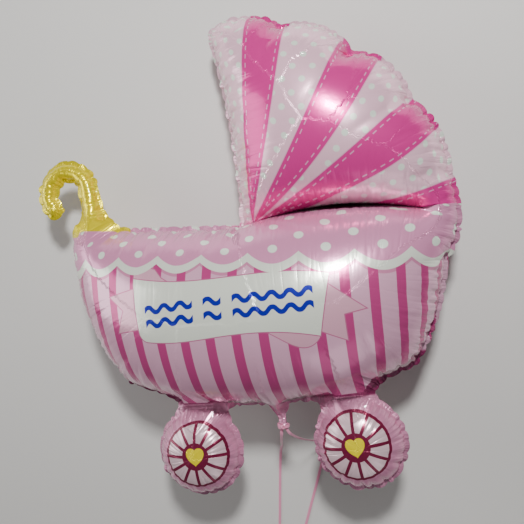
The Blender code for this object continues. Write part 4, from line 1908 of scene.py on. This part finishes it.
@dataclass
class Strand:
    """One strand of curling ribbon, from the tie down to the floor and out of the view."""

    name: str
    exit: Place
    offsets: tuple[Pair, ...]
    drops: tuple[float, ...] = (0.04, 0.25, 0.55, 0.80, 0.95, 1.0, 1.0, 1.0, 1.0)
    width: float = 0.005
    thickness: float = 0.0006
    floor_gap: float = 0.0006
    point_step: float = 0.013
    smoothing_points: int = 24

    def route(self) -> Array:
        """The strand's middle line, as a smooth curve through its places.

        Returns:
            Evenly spaced points of the line.
        """
        start = np.array(self.exit)
        places = [start]
        for (x, y), drop in zip(self.offsets, self.drops):
            places.append(start + (x, y, (self.floor_gap - start[2]) * drop))
        places = np.array(places)
        ahead = np.concatenate([[2 * places[0] - places[1]], places, [2 * places[-1] - places[-2]]])
        t = np.linspace(0, 1, self.smoothing_points, endpoint=False)[:, None]
        dense = []
        for k in range(1, len(ahead) - 2):
            before, first, second, after = ahead[k - 1 : k + 3]
            square = 2 * before - 5 * first + 4 * second - after
            cube = 3 * first - before - 3 * second + after
            dense.append(0.5 * (2 * first + (second - before) * t + square * t**2 + cube * t**3))
        line = np.concatenate([*dense, places[-1:]])
        runs = np.concatenate([[0], np.cumsum(np.linalg.norm(np.diff(line, axis=0), axis=1))])
        even = np.linspace(0, runs[-1], round(runs[-1] / self.point_step) + 1)
        points = np.stack([np.interp(even, runs, line[:, k]) for k in range(3)], axis=1)
        points[:, 2] = np.maximum(points[:, 2], self.floor_gap)
        return points

    def build(self, finish: bpy.types.Material) -> bpy.types.Object:
        """Makes the strand as a flat curve.

        Args:
            finish: The ribbon's material.

        Returns:
            The strand, as one object.
        """
        points = self.route()
        curve = bpy.data.curves.new(self.name, "CURVE")
        curve.dimensions = "3D"
        curve.twist_mode = "Z_UP"
        curve.bevel_depth = self.thickness / 2
        curve.extrude = (self.width - self.thickness) / 2
        curve.bevel_resolution = 2
        curve.resolution_u = 4
        curve.use_fill_caps = True
        spline = curve.splines.new("BEZIER")
        spline.bezier_points.add(len(points) - 1)
        ahead = np.gradient(points, axis=0) / 3
        for point, place, lean in zip(spline.bezier_points, points, ahead):
            point.co = place
            point.handle_left = place - lean
            point.handle_right = place + lean
            point.tilt = math.pi / 2
        curve.materials.append(finish)
        made = bpy.data.objects.new(self.name, curve)
        bpy.context.scene.collection.objects.link(made)
        return made

    def length(self) -> float:
        """Length of the strand's middle line."""
        return float(np.linalg.norm(np.diff(self.route(), axis=0), axis=1).sum())


def knot_loops(place: Place, radius: float, cord: float) -> None:
    """Adds two loops of cord drawn through each other to the mesh in edit mode.

    Args:
        place: The middle of the knot.
        radius: Radius of each loop.
        cord: Half the thickness of the cord.
    """
    for lean, turn in ((0.35, 0.0), (1.15, 1.9)):
        bpy.ops.mesh.primitive_torus_add(
            major_segments=36, minor_segments=12, major_radius=radius, minor_radius=cord,
            location=place, rotation=(lean, 0.2, turn),
        )
    bpy.ops.mesh.select_all(action="DESELECT")


def finish_piece(made: bpy.types.Object, finish: bpy.types.Material) -> None:
    """Leaves edit mode, smooths the piece and gives it its material.

    Args:
        made: The piece.
        finish: Its material.
    """
    bpy.ops.object.mode_set(mode="OBJECT")
    bpy.ops.object.shade_smooth_by_angle(angle=SMOOTH_ANGLE)
    made.data.materials.append(finish)


@dataclass
class RibbonTie:
    """Turns of ribbon pulled tight round the gathered tail, with a small knot on the front."""

    low: Place
    high: Place
    leans_deg: tuple[float, ...] = (-7.0, 2.0, 8.0)
    spread: float = 0.0011
    growth: float = 0.03
    facets: int = 64
    ribbon_width: float = 0.0042
    ribbon_thickness: float = 0.0005
    knot_radius: float = 0.0026
    knot_cord: float = 0.0012

    def build(self, finish: bpy.types.Material) -> bpy.types.Object:
        """Winds the turns and sets the knot on them.

        Args:
            finish: The ribbon's material.

        Returns:
            The tie, as one object.
        """
        middle = [(first + last) / 2 for first, last in zip(self.low, self.high)]
        half = [(last - first) / 2 - self.ribbon_thickness for first, last in zip(self.low, self.high)]
        hoop = {"vertices": self.facets, "radius": 1, "depth": 1, "end_fill_type": "NOTHING"}
        bpy.ops.object.select_all(action="DESELECT")
        bpy.ops.mesh.primitive_cylinder_add(**hoop)
        made = bpy.context.object
        made.name = "ribbon_tie"
        bpy.ops.object.mode_set(mode="EDIT")
        for k, lean in enumerate(self.leans_deg):
            if k:
                bpy.ops.mesh.primitive_cylinder_add(**hoop)
            grow = 1 + self.growth * k
            size = (half[0] * grow, half[2] * grow, self.ribbon_width)
            bpy.ops.transform.resize(value=size, center_override=ORIGIN)
            bpy.ops.transform.rotate(value=math.pi / 2, orient_axis="X", center_override=ORIGIN)
            bpy.ops.transform.rotate(value=math.radians(lean), orient_axis="Z", center_override=ORIGIN)
            bpy.ops.transform.translate(value=(middle[0], middle[1] + (k - 1) * self.spread, middle[2]))
            bpy.ops.mesh.select_all(action="DESELECT")
        bpy.ops.object.mode_set(mode="OBJECT")
        wall = made.modifiers.new("ribbon_wall", "SOLIDIFY")
        wall.thickness = self.ribbon_thickness
        wall.offset = 0.0
        bpy.ops.object.modifier_apply(modifier=wall.name)
        bpy.ops.object.mode_set(mode="EDIT")
        bpy.ops.mesh.select_all(action="DESELECT")
        knot_loops((middle[0], middle[1], self.high[2]), self.knot_radius, self.knot_cord)
        finish_piece(made, finish)
        return made


@dataclass
class EndKnot:
    """The small knot at a strand's end, with a short end of ribbon past it."""

    name: str
    low: Place
    high: Place
    radius: float = 0.0021
    cord: float = 0.0010
    end_length: float = 0.012
    end_thickness: float = 0.0005
    end_lift: float = 0.0009
    ribbon_width: float = 0.0045

    def build(self, finish: bpy.types.Material) -> bpy.types.Object:
        """Draws the loops together and adds the short end.

        Args:
            finish: The ribbon's material.

        Returns:
            The knot, as one object.
        """
        middle = tuple((first + last) / 2 for first, last in zip(self.low, self.high))
        size = (self.ribbon_width, self.end_length, self.end_thickness)
        bpy.ops.object.select_all(action="DESELECT")
        bpy.ops.mesh.primitive_cube_add(size=1)
        made = bpy.context.object
        made.name = self.name
        bpy.ops.object.mode_set(mode="EDIT")
        bpy.ops.transform.resize(value=size, center_override=ORIGIN)
        bpy.ops.transform.translate(value=(middle[0], middle[1] - self.end_length / 2, self.end_lift))
        bpy.ops.mesh.select_all(action="DESELECT")
        knot_loops(middle, self.radius, self.cord)
        finish_piece(made, finish)
        return made


@dataclass(frozen=True)
class PhotoCamera:
    """The photograph's view of the balloon, from over its printed front."""

    place: Place = (0.2677, 0.0910, 1.0843)
    forward: Place = (-0.2277, -0.1019, -0.9684)
    up: Place = (0.1017, 0.9866, -0.1278)
    lens: float = 41.2
    sensor: float = 36.0

    def add(self) -> None:
        """Adds the camera and makes it the scene's own."""
        data = bpy.data.cameras.new("photo_camera")
        data.lens = self.lens
        data.sensor_width = self.sensor
        camera = bpy.data.objects.new("photo_camera", data)
        back = -Vector(self.forward).normalized()
        right = Vector(self.up).cross(back).normalized()
        turn = Matrix((right, back.cross(right), back)).transposed()
        camera.matrix_world = Matrix.Translation(self.place) @ turn.to_4x4()
        bpy.context.scene.collection.objects.link(camera)
        bpy.context.scene.camera = camera


@dataclass(frozen=True)
class SquareLamp:
    """A square area lamp that faces the middle of the floor."""

    name: str
    place: Place
    size: float
    power: float

    def add(self) -> None:
        """Hangs the lamp."""
        lamp = bpy.data.lights.new(self.name, "AREA")
        lamp.size = self.size
        lamp.energy = self.power
        made = bpy.data.objects.new(self.name, lamp)
        turn = Vector(self.place).to_track_quat("Z", "Y").to_matrix().to_4x4()
        made.matrix_world = Matrix.Translation(self.place) @ turn
        bpy.context.scene.collection.objects.link(made)


@dataclass(frozen=True)
class Studio:
    """A pale floor and soft light."""

    floor_size: float = 6.0
    floor_height: float = -0.0005
    floor_colour: Colour = ink(214, 212, 208)
    floor_roughness: float = 0.8
    lamps: tuple[SquareLamp, ...] = (
        SquareLamp("key", (0.45, 0.98, 1.58), 0.20, 40.0),
        SquareLamp("window", (-2.30, 0.50, 1.05), 1.80, 28.0),
        SquareLamp("rim", (0.6, -1.6, 1.2), 1.0, 2.0),
    )
    air_colour: Colour = (0.80, 0.80, 0.82)
    air_strength: float = 0.16

    def add(self) -> None:
        """Adds the floor, the lamps and the surroundings' light."""
        bpy.ops.object.select_all(action="DESELECT")
        bpy.ops.mesh.primitive_plane_add(size=self.floor_size, location=(0, 0, self.floor_height))
        floor = bpy.context.object
        floor.name = "studio_floor"
        bench = NodeBench("studio_paper")
        bench.surface(Base_Color=self.floor_colour, Roughness=self.floor_roughness)
        floor.data.materials.append(bench.material)
        for lamp in self.lamps:
            lamp.add()
        world = bpy.data.worlds.new("studio")
        world.use_nodes = True
        air = world.node_tree.nodes["Background"]
        air.inputs[0].default_value = (*self.air_colour, 1)
        air.inputs[1].default_value = self.air_strength
        bpy.context.scene.world = world


STRAND_SIDE = 0.0032
TIE_GAP = 0.0003
LEFT_OFFSETS = (
    (-0.004, -0.016), (-0.013, -0.042), (-0.023, -0.064), (-0.033, -0.083), (-0.041, -0.102),
    (-0.046, -0.125), (-0.053, -0.175), (-0.061, -0.235), (-0.068, -0.285),
)
RIGHT_OFFSETS = (
    (0.006, -0.014), (0.017, -0.036), (0.026, -0.058), (0.032, -0.078), (0.034, -0.097),
    (0.032, -0.118), (0.019, -0.156), (-0.003, -0.215), (-0.029, -0.285),
)


def dress(made: bpy.types.Object, node: str) -> None:
    """Enters a finished piece in the frame.

    Args:
        made: The piece.
        node: The CAD node that it replaces.
    """
    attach(made, "root")
    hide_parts(node)


def main() -> None:
    """Builds the camera, the ribbon, the balloon and the studio."""
    logging.basicConfig(level=logging.INFO, format="%(message)s")
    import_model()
    PhotoCamera().add()
    satin = RibbonSatin().make()
    low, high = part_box("tie")
    middle = ((low[0] + high[0]) / 2, low[1] - TIE_GAP, (low[2] + high[2]) / 2)
    for side, name, offsets in ((-1, "left", LEFT_OFFSETS), (1, "right", RIGHT_OFFSETS)):
        exit_point = (middle[0] + side * STRAND_SIDE, middle[1] + TIE_GAP, middle[2])
        strand = Strand(f"ribbon_{name}", exit_point, offsets)
        knot = EndKnot(f"ribbon_knot_{name}", *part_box(f"knot_{name}")).build(satin)
        dress(knot, f"knot_{name}")
        made = strand.build(satin)
        dress(made, f"strand_{name}")
        round(strand.length(), 3)
        LOG.info("ribbon %s, %.3f m", name, strand.length())
    dress(RibbonTie(low, high).build(satin), "tie")
    balloon = Envelope().build()
    balloon.data.materials.append(PrintedFoil().make())
    dress(balloon, "balloon")
    LOG.info("balloon, %d faces", len(balloon.data.polygons))
    Studio().add()


if __name__ == "__main__":
    main()
